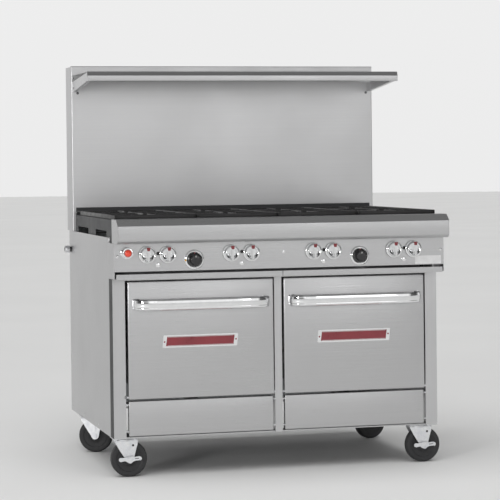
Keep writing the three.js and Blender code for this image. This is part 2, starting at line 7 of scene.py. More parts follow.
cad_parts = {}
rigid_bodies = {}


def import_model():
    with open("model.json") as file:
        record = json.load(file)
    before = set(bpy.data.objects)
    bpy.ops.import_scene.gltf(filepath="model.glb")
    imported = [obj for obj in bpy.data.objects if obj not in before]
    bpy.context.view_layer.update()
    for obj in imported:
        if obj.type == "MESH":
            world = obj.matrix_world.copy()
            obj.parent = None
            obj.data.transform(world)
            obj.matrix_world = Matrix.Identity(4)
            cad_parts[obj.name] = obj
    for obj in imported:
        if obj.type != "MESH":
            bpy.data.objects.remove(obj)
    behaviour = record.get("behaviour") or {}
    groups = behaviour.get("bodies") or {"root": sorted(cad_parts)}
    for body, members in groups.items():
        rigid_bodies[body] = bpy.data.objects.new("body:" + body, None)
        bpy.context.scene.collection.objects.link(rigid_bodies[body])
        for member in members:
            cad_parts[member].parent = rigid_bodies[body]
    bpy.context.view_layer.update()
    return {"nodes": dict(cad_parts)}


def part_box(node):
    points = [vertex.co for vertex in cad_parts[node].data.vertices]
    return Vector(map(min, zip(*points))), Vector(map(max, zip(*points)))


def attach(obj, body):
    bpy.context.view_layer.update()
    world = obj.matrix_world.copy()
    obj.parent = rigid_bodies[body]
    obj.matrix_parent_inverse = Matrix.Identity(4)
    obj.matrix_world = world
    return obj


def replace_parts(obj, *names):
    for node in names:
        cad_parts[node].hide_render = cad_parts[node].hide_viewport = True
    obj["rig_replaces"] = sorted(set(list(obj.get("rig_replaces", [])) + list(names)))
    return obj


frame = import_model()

NODES = frame["nodes"]
SC = bpy.context.scene

_riser_lo, _riser_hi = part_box("riser_front_panel")
OX = (_riser_lo.x + _riser_hi.x) / 2
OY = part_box("door_skin_left")[0].y + 0.012


def W(x, y, z):
    return Vector((x / 1000 + OX, y / 1000 + OY, z / 1000))


# --------------------------------------------------------------------- camera
def make_camera():
    yaw, pitch, roll = math.radians(14.61), math.radians(-1.13), math.radians(-0.65)
    fwd = Vector((math.sin(yaw) * math.cos(pitch), math.cos(yaw) * math.cos(pitch), math.sin(pitch)))
    right = Vector((math.cos(yaw), -math.sin(yaw), 0))
    up = right.cross(fwd)
    m = Matrix((right, up, -fwd)).transposed().to_4x4() @ Matrix.Rotation(roll, 4, "Z")
    m.translation = W(-1914.76, -6959.74, 1130.26)
    data = bpy.data.cameras.new("camera")
    data.sensor_width = 36
    data.lens = 1981.07 / 500 * 36
    data.shift_y = -0.1
    data.clip_end = 200
    cam = bpy.data.objects.new("camera", data)
    cam.matrix_world = m
    SC.collection.objects.link(cam)
    SC.camera = cam


make_camera()


# ------------------------------------------------------------------ materials
class Nodes:
    """Small wrapper round a material's node tree."""

    def __init__(self, name):
        self.mat = bpy.data.materials.new(name)
        self.mat.use_nodes = True
        self.t = self.mat.node_tree
        self.t.nodes.clear()
        self.out = self.t.nodes.new("ShaderNodeOutputMaterial")
        self.bsdf = self.t.nodes.new("ShaderNodeBsdfPrincipled")
        self.t.links.new(self.bsdf.outputs[0], self.out.inputs[0])
        self.coord = self.t.nodes.new("ShaderNodeTexCoord").outputs["Object"]

    def set(self, **kw):
        for k, v in kw.items():
            s = self.bsdf.inputs[k.replace("_", " ")]
            s.default_value = (*v, 1) if isinstance(v, tuple) and len(v) == 3 and s.type == "RGBA" else v
        return self

    def link(self, a, b):
        self.t.links.new(a, b)

    def mapped(self, scale, rot=(0, 0, 0)):
        n = self.t.nodes.new("ShaderNodeMapping")
        n.inputs["Scale"].default_value = scale
        n.inputs["Rotation"].default_value = rot
        self.link(self.coord, n.inputs["Vector"])
        return n.outputs[0]

    def noise(self, vec, scale=1.0, detail=2.0, rough=0.5):
        n = self.t.nodes.new("ShaderNodeTexNoise")
        n.inputs["Scale"].default_value = scale
        n.inputs["Detail"].default_value = detail
        n.inputs["Roughness"].default_value = rough
        self.link(vec, n.inputs["Vector"])
        return n.outputs["Fac"]

    def voronoi(self, vec, scale, out="Distance", feature="F1"):
        n = self.t.nodes.new("ShaderNodeTexVoronoi")
        n.feature = feature
        n.inputs["Scale"].default_value = scale
        self.link(vec, n.inputs["Vector"])
        return n.outputs[out]

    def ramp(self, fac, stops):
        n = self.t.nodes.new("ShaderNodeValToRGB")
        e = n.color_ramp.elements
        while len(e) < len(stops):
            e.new(0.5)
        for i, (p, c) in enumerate(stops):
            e[i].position = p
            e[i].color = (c, c, c, 1) if isinstance(c, (int, float)) else (*c, 1)
        self.link(fac, n.inputs[0])
        return n.outputs[0]

    def mix(self, fac, a, b, mode="MIX"):
        n = self.t.nodes.new("ShaderNodeMix")
        n.data_type = "RGBA"
        n.blend_type = mode
        for s, v in ((n.inputs[0], fac), (n.inputs[6], a), (n.inputs[7], b)):
            if hasattr(v, "is_output"):
                self.link(v, s)
            elif isinstance(v, tuple):
                s.default_value = (*v, 1)
            else:
                s.default_value = v
        return n.outputs[2]

    def math(self, op, a, b=0.0):
        n = self.t.nodes.new("ShaderNodeMath")
        n.operation = op
        for s, v in ((n.inputs[0], a), (n.inputs[1], b)):
            if hasattr(v, "is_output"):
                self.link(v, s)
            else:
                s.default_value = v
        return n.outputs[0]

    def range(self, fac, lo, hi, a=0.3, b=0.7):
        n = self.t.nodes.new("ShaderNodeMapRange")
        n.inputs["From Min"].default_value = a
        n.inputs["From Max"].default_value = b
        n.inputs["To Min"].default_value = lo
        n.inputs["To Max"].default_value = hi
        self.link(fac, n.inputs["Value"])
        return n.outputs[0]

    def color(self, socket):
        self.link(socket, self.bsdf.inputs["Base Color"])
        return self

    def rough(self, socket):
        self.link(socket, self.bsdf.inputs["Roughness"])
        return self

    def bump(self, height, strength=0.2, dist=0.001):
        n = self.t.nodes.new("ShaderNodeBump")
        n.inputs["Strength"].default_value = strength
        n.inputs["Distance"].default_value = dist
        self.link(height, n.inputs["Height"])
        self.link(n.outputs[0], self.bsdf.inputs["Normal"])
        return self


def brushed(name, tone, rough, grain="X", spread=0.06, aniso=0.45, bump=0.05):
    """Sheet with a directional satin grain: fine scratches, broad bands and faint smudges."""
    n = Nodes(name)
    along, across = 5.0, 1400.0
    s = [across] * 3
    s["XYZ".index(grain)] = along
    fine = n.noise(n.mapped(tuple(s)), 1.0, 3, 0.7)
    s2 = [170.0] * 3
    s2["XYZ".index(grain)] = 1.2
    band = n.noise(n.mapped(tuple(s2)), 1.0, 2, 0.6)
    smudge = n.noise(n.mapped((3.2, 3.2, 3.2)), 1.0, 4, 0.55)
    lo = tuple(c * (1 - spread) for c in tone)
    hi = tuple(min(1, c * (1 + spread)) for c in tone)
    c = n.mix(n.range(band, 0, 1), lo, hi)
    c = n.mix(n.range(smudge, 0.0, 0.35), c, tuple(t * 0.93 for t in tone))
    c = n.mix(n.range(fine, 0.0, 0.14), c, tuple(t * 0.86 for t in tone))
    n.color(c)
    r = n.math("ADD", n.range(fine, rough - 0.05, rough + 0.07), n.range(smudge, -0.025, 0.04))
    n.rough(r)
    n.set(Metallic=1.0, Anisotropic=aniso)
    tan = n.t.nodes.new("ShaderNodeTangent")
    tan.direction_type = "RADIAL"
    tan.axis = "Z"
    if aniso:
        n.link(tan.outputs[0], n.bsdf.inputs["Tangent"])
    if grain == "Z":
        n.bsdf.inputs["Anisotropic Rotation"].default_value = 0.25
    n.bump(fine, bump, 0.0003)
    return n.mat


def chrome(name, tone=(0.86, 0.87, 0.88), rough=0.055):
    n = Nodes(name)
    smear = n.noise(n.mapped((45, 45, 45)), 1.0, 4, 0.6)
    speck = n.noise(n.mapped((900, 900, 900)), 1.0, 1, 0.5)
    n.color(n.mix(n.range(smear, 0, 1), tone, tuple(t * 0.93 for t in tone)))
    n.rough(n.math("ADD", n.range(smear, rough * 0.6, rough * 1.9), n.range(speck, 0, 0.02)))
    n.set(Metallic=1.0)
    n.bump(smear, 0.02, 0.0004)
    return n.mat


def cast_iron(name, tone=(0.034, 0.034, 0.036), rough=0.5):
    n = Nodes(name)
    grit = n.noise(n.mapped((520, 520, 520)), 1.0, 4, 0.65)
    blot = n.noise(n.mapped((28, 28, 28)), 1.0, 4, 0.6)
    c = n.mix(n.range(blot, 0, 1), tone, tuple(t * 1.9 for t in tone))
    c = n.mix(n.range(grit, 0, 0.5, 0.45, 0.75), c, (0.085, 0.075, 0.068))
    n.color(c)
    n.rough(n.math("ADD", n.range(blot, rough - 0.1, rough + 0.1), n.range(grit, -0.05, 0.1)))
    n.set(Metallic=0.35)
    n.bump(n.math("ADD", grit, n.math("MULTIPLY", blot, 2.0)), 0.35, 0.0006)
    return n.mat


def enamel(name):
    n = Nodes(name)
    spot = n.voronoi(n.mapped((1, 1, 1)), 260.0)
    pick = n.noise(n.mapped((170, 170, 170)), 1.0, 1, 0.5)
    dots = n.math("MULTIPLY", n.range(spot, 1.0, 0.0, 0.12, 0.24), n.range(pick, 0, 1, 0.5, 0.56))
    wave = n.noise(n.mapped((9, 9, 9)), 1.0, 3, 0.5)
    base = n.mix(n.range(wave, 0, 1), (0.010, 0.013, 0.022), (0.020, 0.024, 0.036))
    n.color(n.mix(dots, base, (0.42, 0.44, 0.47)))
    n.rough(n.range(wave, 0.16, 0.32))
    n.set(Coat_Weight=0.4, Coat_Roughness=0.12)
    n.bump(wave, 0.12, 0.002)
    return n.mat


def galvanised(name, tone=(0.50, 0.52, 0.53)):
    n = Nodes(name)
    cell = n.voronoi(n.mapped((1, 1, 1)), 62.0, "Color")
    grey = n.t.nodes.new("ShaderNodeRGBToBW")
    n.link(cell, grey.inputs[0])
    g = grey.outputs[0]
    n.color(n.mix(g, tuple(t * 0.8 for t in tone), tuple(t * 1.18 for t in tone)))
    n.rough(n.range(g, 0.34, 0.52, 0.0, 1.0))
    n.set(Metallic=0.95)
    n.bump(n.noise(n.mapped((300, 300, 300)), 1.0, 3, 0.5), 0.08, 0.0005)
    return n.mat


def zinc(name, tone=(0.78, 0.79, 0.80), rough=0.30):
    n = Nodes(name)
    cloud = n.noise(n.mapped((70, 70, 70)), 1.0, 4, 0.6)
    pits = n.noise(n.mapped((900, 900, 900)), 1.0, 2, 0.5)
    c = n.mix(n.range(cloud, 0, 1), tone, (tone[0] * 0.86, tone[1] * 0.87, tone[2] * 0.9))
    n.color(n.mix(n.range(pits, 0, 0.3, 0.5, 0.8), c, (0.45, 0.44, 0.42)))
    n.rough(n.math("ADD", n.range(cloud, rough - 0.07, rough + 0.08), n.range(pits, 0, 0.05)))
    n.set(Metallic=0.92)
    n.bump(pits, 0.1, 0.0003)
    return n.mat


def paint(name, tone, rough=0.45, metallic=0.0, coat=0.0, peel=0.1):
    n = Nodes(name)
    orange = n.noise(n.mapped((420, 420, 420)), 1.0, 2, 0.5)
    dust = n.noise(n.mapped((14, 14, 14)), 1.0, 5, 0.6)
    c = n.mix(n.range(dust, 0, 1), tuple(t * 0.88 for t in tone), tuple(min(1, t * 1.14) for t in tone))
    n.color(c)
    n.rough(n.math("ADD", n.range(dust, rough - 0.06, rough + 0.08), n.range(orange, -0.02, 0.02)))
    n.set(Metallic=metallic, Coat_Weight=coat, Coat_Roughness=0.08)
    n.bump(orange, peel, 0.0004)
    return n.mat


def rubber(name, tone=(0.050, 0.050, 0.052)):
    n = Nodes(name)
    scuff = n.noise(n.mapped((55, 55, 55)), 1.0, 5, 0.65)
    fine = n.noise(n.mapped((700, 700, 700)), 1.0, 2, 0.5)
    c = n.mix(n.range(scuff, 0, 1), tone, tuple(t * 1.7 for t in tone))
    c = n.mix(n.range(fine, 0, 0.2, 0.5, 0.8), c, (0.12, 0.12, 0.12))
    n.color(c)
    n.rough(n.range(scuff, 0.48, 0.7))
    n.bump(fine, 0.15, 0.0004)
    return n.mat


STEEL = brushed("stainless_horizontal", (0.57, 0.57, 0.575), 0.30, "X", 0.02, 0.45, 0.02)
STEEL_S = brushed("stainless_riser", (0.60, 0.60, 0.605), 0.34, "X", 0.015, 0.45, 0.02)
STEEL_V = brushed("stainless_vertical", (0.53, 0.53, 0.535), 0.31, "Z", 0.02, 0.45, 0.02)
STEEL_D = brushed("stainless_dull_frame", (0.60, 0.60, 0.605), 0.34, "Z", 0.02, 0.3, 0.02)
GALV = galvanised("galvanised_sheet")
BOX = paint("burner_box_grey", (0.045, 0.046, 0.048), 0.50, 0.3)
IRON = cast_iron("cast_iron_grate", (0.016, 0.016, 0.017), 0.36)
IRON_B = cast_iron("cast_iron_burner", (0.016, 0.016, 0.017), 0.5)
PIPE = paint("black_pipe", (0.03, 0.03, 0.032), 0.42, 0.5)
CHROME = chrome("polished_chrome", (0.90, 0.905, 0.91), 0.035)
WIRE = chrome("nickel_wire", (0.70, 0.70, 0.69), 0.13)
BLACK = paint("black_plastic", (0.010, 0.010, 0.011), 0.20, 0.0, 0.5, 0.06)
WHITE = paint("white_mark", (0.75, 0.75, 0.73), 0.4)
MAROON = paint("maroon_enamel", (0.23, 0.022, 0.032), 0.32, 0.0, 0.4, 0.08)
KNOB_RED = paint("knob_red_insert", (0.22, 0.016, 0.022), 0.30, 0.0, 0.5, 0.05)
AMBER = paint("amber_lens", (0.75, 0.38, 0.03), 0.18, 0.0, 0.8, 0.03)
BUTTON = paint("red_button", (0.86, 0.060, 0.022), 0.14, 0.0, 0.9, 0.03)
ENAMEL = enamel("speckled_enamel")
ZINC = zinc("bright_zinc", (0.92, 0.925, 0.93), 0.44)
TYRE = rubber("wheel_elastomer", (0.018, 0.018, 0.019))
LABEL = paint("blank_label", (0.80, 0.80, 0.80), 0.35, 0.2, 0.2, 0.03)
# painted shade: a near-black paint that stands in for the shade on the sides of the outer stiles
SHADOW = paint("painted_shade_stile_sides", (0.032, 0.033, 0.034), 0.55, 0.1)
DARKSCREW = zinc("dark_screw", (0.16, 0.16, 0.165), 0.38)
BRASS = zinc("valve_brass", (0.62, 0.45, 0.20), 0.28)


# ------------------------------------------------------------------- geometry
def bm_out(bm):
    bm.verts.ensure_lookup_table()
    bm.verts.index_update()
    v = [tuple(p.co) for p in bm.verts]
    f = [tuple(p.index for p in q.verts) for q in bm.faces]
    bm.free()
    return v, f


def g_box(x0, x1, y0, y1, z0, z1, r=0.0, seg=2):
    bm = bmesh.new()
    bmesh.ops.create_cube(bm, size=1)
    for v in bm.verts:
        v.co = Vector(((x0 + x1) / 2 + v.co.x * (x1 - x0), (y0 + y1) / 2 + v.co.y * (y1 - y0), (z0 + z1) / 2 + v.co.z * (z1 - z0)))
    if r:
        bmesh.ops.bevel(bm, geom=bm.edges[:], offset=r, segments=seg, affect="EDGES", profile=0.5, clamp_overlap=True)
    return bm_out(bm)


def xform(g, m):
    return [tuple(m @ Vector(p)) for p in g[0]], g[1]


def face_front(x, y, z, turn=0.0):
    """Local (u right, v up, w out) to the layout frame, facing the front (-Y)."""
    c, s = math.cos(turn), math.sin(turn)
    return Matrix(((c, -s, 0, x), (0, 0, -1, y), (s, c, 0, z), (0, 0, 0, 1)))


def g_lathe(prof, n=48, m=None, closed=False):
    """Profile of (radius, height) turned about local Z. Ends on the axis close with a fan."""
    v, f, rings = [], [], []
    for r, h in prof:
        if r < 1e-6:
            rings.append([len(v)])
            v.append((0, 0, h))
        else:
            rings.append(list(range(len(v), len(v) + n)))
            v += [(r * math.cos(2 * math.pi * i / n), r * math.sin(2 * math.pi * i / n), h) for i in range(n)]
    pairs = list(zip(rings, rings[1:])) + ([(rings[-1], rings[0])] if closed else [])
    for a, b in pairs:
        if len(a) == 1 and len(b) == 1:
            continue
        for i in range(n):
            j = (i + 1) % n
            if len(a) == 1:
                f.append((a[0], b[j], b[i]))
            elif len(b) == 1:
                f.append((a[i], a[j], b[0]))
            else:
                f.append((a[i], a[j], b[j], b[i]))
    g = (v, f)
    return xform(g, m) if m else g


def arc(cx, cy, r, a0, a1, n=5):
    return [(cx + r * math.cos(math.radians(a0 + (a1 - a0) * i / n)), cy + r * math.sin(math.radians(a0 + (a1 - a0) * i / n))) for i in range(n + 1)]


def g_prism(outline, h0, h1, r=0.0, seg=2, m=None, top=None):
    """A 2D outline (u, v) raised from h0 to h1, its edges rounded; top scales the upper face about its middle."""
    bm = bmesh.new()
    area = sum(a[0] * b[1] - b[0] * a[1] for a, b in zip(outline, outline[1:] + outline[:1]))
    pts = outline if area > 0 else outline[::-1]
    lo = [bm.verts.new((x, y, h0)) for x, y in pts]
    cx = sum(p[0] for p in pts) / len(pts)
    cy = sum(p[1] for p in pts) / len(pts)
    k = top or 1.0
    hi = [bm.verts.new((cx + (x - cx) * k, cy + (y - cy) * k, h1)) for x, y in pts]
    bm.faces.new(lo[::-1])
    bm.faces.new(hi)
    for i in range(len(pts)):
        j = (i + 1) % len(pts)
        bm.faces.new((lo[i], lo[j], hi[j], hi[i]))
    if r:
        e = [q for q in bm.edges if q.calc_face_angle(0) > math.radians(25)]
        bmesh.ops.bevel(bm, geom=e, offset=r, segments=seg, affect="EDGES", profile=0.5, clamp_overlap=True)
    g = bm_out(bm)
    return xform(g, m) if m else g


def frames_along(pts, closed=False, up=Vector((0, 0, 1))):
    pts = [Vector(p) for p in pts]
    n = len(pts)
    out, prev = [], None
    for i in range(n):
        a = pts[i - 1] if (i or closed) else pts[i]
        b = pts[(i + 1) % n] if (i < n - 1 or closed) else pts[i]
        t = (b - a).normalized()
        if prev is None:
            ref = up if abs(t.dot(up)) < 0.95 else Vector((1, 0, 0))
            side = t.cross(ref).normalized()
        else:
            side = prev - t * prev.dot(t)
            side = side.normalized() if side.length > 1e-6 else t.cross(up).normalized()
        prev = side
        out.append((pts[i], t, side, side.cross(t).normalized()))
    return out


def g_sweep(pts, section, closed=False, cap=True, up=Vector((0, 0, 1)), scale=None):
    """A closed section (side, up) swept along points."""
    fr = frames_along(pts, closed, up)
    v, f, k = [], [], len(section)
    for i, (p, t, s, u) in enumerate(fr):
        c = scale[i] if scale else 1.0
        v += [tuple(p + s * a * c + u * b * c) for a, b in section]
    n = len(fr)
    for i in range(n if closed else n - 1):
        a, b = i * k, ((i + 1) % n) * k
        for j in range(k):
            l = (j + 1) % k
            f.append((a + j, a + l, b + l, b + j))
    if cap and not closed:
        f.append(tuple(range(k))[::-1])
        f.append(tuple(range((n - 1) * k, n * k)))
    return v, f


def circle(r, n=12):
    return [(r * math.cos(2 * math.pi * i / n), r * math.sin(2 * math.pi * i / n)) for i in range(n)]


def g_tube(pts, r, n=12, closed=False):
    return g_sweep(pts, circle(r, n), closed)


def smooth_path(pts, per=6):
    """Catmull-Rom through the points."""
    p = [Vector(q) for q in pts]
    p = [p[0] * 2 - p[1]] + p + [p[-1] * 2 - p[-2]]
    out = []
    for i in range(1, len(p) - 2):
        for k in range(per):
            t = k / per
            a, b, c, d = p[i - 1], p[i], p[i + 1], p[i + 2]
            out.append(0.5 * (2 * b + (c - a) * t + (2 * a - 5 * b + 4 * c - d) * t * t + (3 * b - a - 3 * c + d) * t ** 3))
    out.append(p[-2])
    return out


class Piece:
    """Gathers generated shapes and becomes one object that rides on a body."""

    def __init__(self):
        self.v, self.f, self.mi = [], [], []

    def add(self, g, mi=0):
        o = len(self.v)
        self.v += list(g[0])
        self.f += [tuple(i + o for i in q) for q in g[1]]
        self.mi += [mi] * len(g[1])
        return self

    def make(self, name, mats, body, slot=None, replaces=(), sharp=38, flip=True):
        mesh = bpy.data.meshes.new(name)
        mesh.from_pydata([tuple(W(*p)) for p in self.v], [], self.f)
        for i, m in enumerate(mats):
            mesh.materials.append(m)
        mesh.polygons.foreach_set("material_index", self.mi)
        if flip:
            bm = bmesh.new()
            bm.from_mesh(mesh)
            bmesh.ops.recalc_face_normals(bm, faces=bm.faces[:])
            bm.to_mesh(mesh)
            bm.free()
        mesh.polygons.foreach_set("use_smooth", [True] * len(mesh.polygons))
        mesh.update()
        mesh.set_sharp_from_angle(angle=math.radians(sharp))
        o = bpy.data.objects.new(name, mesh)
        SC.collection.objects.link(o)
        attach(o, body)
        if replaces:
            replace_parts(o, *replaces)
        return o


def add_mod(o, kind, **kw):
    m = o.modifiers.new(kind.lower(), kind)
    for k, v in kw.items():
        setattr(m, k, v)
    return m


def smooth_group():
    g = bpy.data.node_groups.new("shade_smooth", "GeometryNodeTree")
    g.interface.new_socket("Geometry", in_out="INPUT", socket_type="NodeSocketGeometry")
    g.interface.new_socket("Geometry", in_out="OUTPUT", socket_type="NodeSocketGeometry")
    a, b = g.nodes.new("NodeGroupInput"), g.nodes.new("NodeGroupOutput")
    s = g.nodes.new("GeometryNodeSetShadeSmooth")
    g.links.new(a.outputs[0], s.inputs[0])
    g.links.new(s.outputs[0], b.inputs[0])
    return g


SMOOTH = smooth_group()


def finish_cad(name, mat, width=0.5, seg=2, angle=30):
    """A carried-over CAD node: welded, cleaned of flat triangles, its edges rounded, and its finish set."""
    o = NODES[name]
    if not o.data.materials:
        o.data.materials.append(mat)
    for i in range(len(o.data.materials)):
        o.data.materials[i] = mat
    add_mod(o, "WELD", merge_threshold=0.00002)
    add_mod(o, "DECIMATE", decimate_type="DISSOLVE", angle_limit=math.radians(1.0))
    if width:
        add_mod(o, "BEVEL", width=width / 1000, segments=seg, limit_method="ANGLE", angle_limit=math.radians(angle), use_clamp_overlap=True)
    m = add_mod(o, "NODES")
    m.node_group = SMOOTH
    add_mod(o, "WEIGHTED_NORMAL", weight=50, keep_sharp=False)
    return o


DONE = set()


def keep(names, mat, width=0.5, seg=2, angle=30):
    for n in names:
        finish_cad(n, mat, width, seg, angle)
        DONE.add(n)


def bent_sheet(points, t, r, x0, x1, n=4):
    """An open run of (a, b) corners, rounded at each bend; t is not used."""
    pts = [Vector(p) for p in points]
    line = []
    for i, p in enumerate(pts):
        if i in (0, len(pts) - 1):
            line.append(p)
            continue
        a, b = (pts[i - 1] - p).normalized(), (pts[i + 1] - p).normalized()
        half = a.angle(b) / 2
        d = min(r / math.tan(half), (pts[i - 1] - p).length * 0.45, (pts[i + 1] - p).length * 0.45)
        rr = d * math.tan(half)
        c = p + (a + b).normalized() * (rr / math.sin(half))
        s, e = p + a * d - c, p + b * d - c
        for k in range(n + 1):
            w = k / n
            q = (s * (1 - w) + e * w).normalized() * rr
            line.append(c + q)
    return line


def offset_line(line, t):
    out = []
    for i, p in enumerate(line):
        a = (line[i] - line[i - 1]).normalized() if i else (line[1] - line[0]).normalized()
        b = (line[i + 1] - line[i]).normalized() if i < len(line) - 1 else a
        n = Vector((-(a + b).y, (a + b).x))
        n = n.normalized() if n.length > 1e-9 else Vector((-a.y, a.x))
        c = max(0.3, n.dot(Vector((-a.y, a.x))))
        out.append(p + n * (t / c))
    return out


def g_profile(points, t, r, lo, hi, axis="x", n=4):
    """Sheet metal run: the corner points (first axis, second axis) thickened by t and run along axis from lo to hi."""
    line = bent_sheet(points, t, r, lo, hi, n)
    back = offset_line(line, t)
    ring = line + back[::-1]
    k = len(ring)

    def at(p, h):
        return {"x": (h, p.x, p.y), "y": (p.x, h, p.y), "z": (p.x, p.y, h)}[axis]

    v = [at(p, lo) for p in ring] + [at(p, hi) for p in ring]
    f = [(i, (i + 1) % k, k + (i + 1) % k, k + i) for i in range(k)]
    h = len(line)
    for base in (0, k):
        for i in range(h - 1):
            q = (base + i, base + i + 1, base + k - 2 - i, base + k - 1 - i)
            f.append(q if base else q[::-1])
    return v, f


def g_pan(x0, x1, ya, yb, z0, z1, t, r, face, n=4):
    """A shallow pan: face at y = ya, open towards yb, corners rounded to r, sheet t thick. face is an inner panel tuple or None."""
    bm = bmesh.new()
    bmesh.ops.create_cube(bm, size=1)
    for v in bm.verts:
        v.co = Vector(((x0 + x1) / 2 + v.co.x * (x1 - x0), (ya + yb) / 2 + v.co.y * abs(yb - ya), (z0 + z1) / 2 + v.co.z * (z1 - z0)))
    out = [f for f in bm.faces if abs(f.calc_center_median().y - yb) < 1e-3]
    bmesh.ops.delete(bm, geom=out, context="FACES_ONLY")
    e = [q for q in bm.edges if len(q.link_faces) == 2]
    bmesh.ops.bevel(bm, geom=e, offset=r, segments=n, affect="EDGES", profile=0.5, clamp_overlap=True)
    if face:
        big = max(bm.faces, key=lambda q: q.calc_area())
        inset, depth = face
        bmesh.ops.inset_individual(bm, faces=[big], thickness=inset)
        for _ in range(1):
            bmesh.ops.inset_individual(bm, faces=[big], thickness=abs(depth) * 1.2)
        for v in big.verts:
            v.co.y += depth
    bmesh.ops.recalc_face_normals(bm, faces=bm.faces[:])
    ref = max(bm.faces, key=lambda q: q.calc_area())
    want = 1 if yb < ya else -1
    if ref.normal.y * want < 0:
        bmesh.ops.reverse_faces(bm, faces=bm.faces[:])
    bmesh.ops.solidify(bm, geom=bm.faces[:], thickness=t)
    return bm_out(bm)


def screw(p, x, y, z, r=4.2, h=2.4, mi=0, m=None, hexa=True):
    m = m or face_front(x, y, z)
    p.add(g_lathe([(0, 0), (r * 1.15, 0), (r * 1.15, h * 0.25), (r * 0.95, h * 0.42), (r * 0.6, h * 0.5), (0, h * 0.5)], 24, m), mi)
    if hexa:
        p.add(g_prism([(r * 0.78 * math.cos(math.radians(a)), r * 0.78 * math.sin(math.radians(a))) for a in range(0, 360, 60)], h * 0.4, h * 1.25, r * 0.1, 2, m), mi)
    else:
        p.add(g_lathe([(0, h * 0.4), (r * 0.9, h * 0.4), (r * 0.75, h * 0.8), (r * 0.4, h), (0, h * 1.05)], 24, m), mi)


PAIR_X = [-461, -153.7, 153.7, 461]
KNOB_Z, PANEL_Y = 801, -68

# ---------------------------------------------------------------- burner knobs
def burner_knob(i, x):
    p = Piece()
    m = face_front(x, PANEL_Y - 2.5, KNOB_Z)
    prof = [(0, 0), (29.5, 0)] + arc(29.6, 1.4, 1.4, -90, 0, 4) + [(31, 3.6)] + arc(29.2, 3.8, 1.8, 0, 90, 5) + \
        [(27.6, 5.9), (26.6, 6.6), (25.9, 8.2)] + [(25.4, 11.0), (24.9, 13.4)] + arc(22.4, 13.6, 2.5, 5, 80, 6) + \
        [(20.6, 14.9), (18.2, 12.6), (14.6, 10.4), (10, 9.2), (0, 8.8)]
    p.add(g_lathe(prof, 64, m), 0)
    blade = [(-3.6, -24.6), (-1.4, -25.6), (1.4, -25.6), (3.6, -24.6), (4.4, -8), (4.7, 6), (5.8, 14), (8.6, 27.6), (7.4, 28.8), (-7.4, 28.8), (-8.6, 27.6), (-5.8, 14), (-4.7, 6), (-4.4, -8)]
    p.add(g_prism(blade, 9.5, 28.4, 1.3, 3, m, 0.93), 0)
    root = [(-7.6, -23.4), (7.6, -23.4), (9.2, 0), (10.4, 22), (8.2, 26.4), (-8.2, 26.4), (-10.4, 22), (-9.2, 0)]
    p.add(g_prism(root, 7.5, 17.6, 2.6, 4, m, 0.80), 0)
    p.add(g_prism([(4.6, 14.2), (7.3, 26.0), (6.6, 26.8), (-6.6, 26.8), (-7.3, 26.0), (-4.6, 14.2)], 27.6, 28.9, 0.35, 2, m), 1)
    p.add(g_prism([(1.3, -21), (1.5, 11.2), (-1.5, 11.2), (-1.3, -21)], 28.1, 28.75, 0.25, 1, m), 0)
    p.make("knob_%d_chrome" % i, [CHROME, KNOB_RED], "knob_%d" % i, "chrome", ["burner_knob_%d" % i])


k = 0
for px in PAIR_X:
    for s in (-1, 1):
        k += 1
        burner_knob(k, px + s * 37.5)

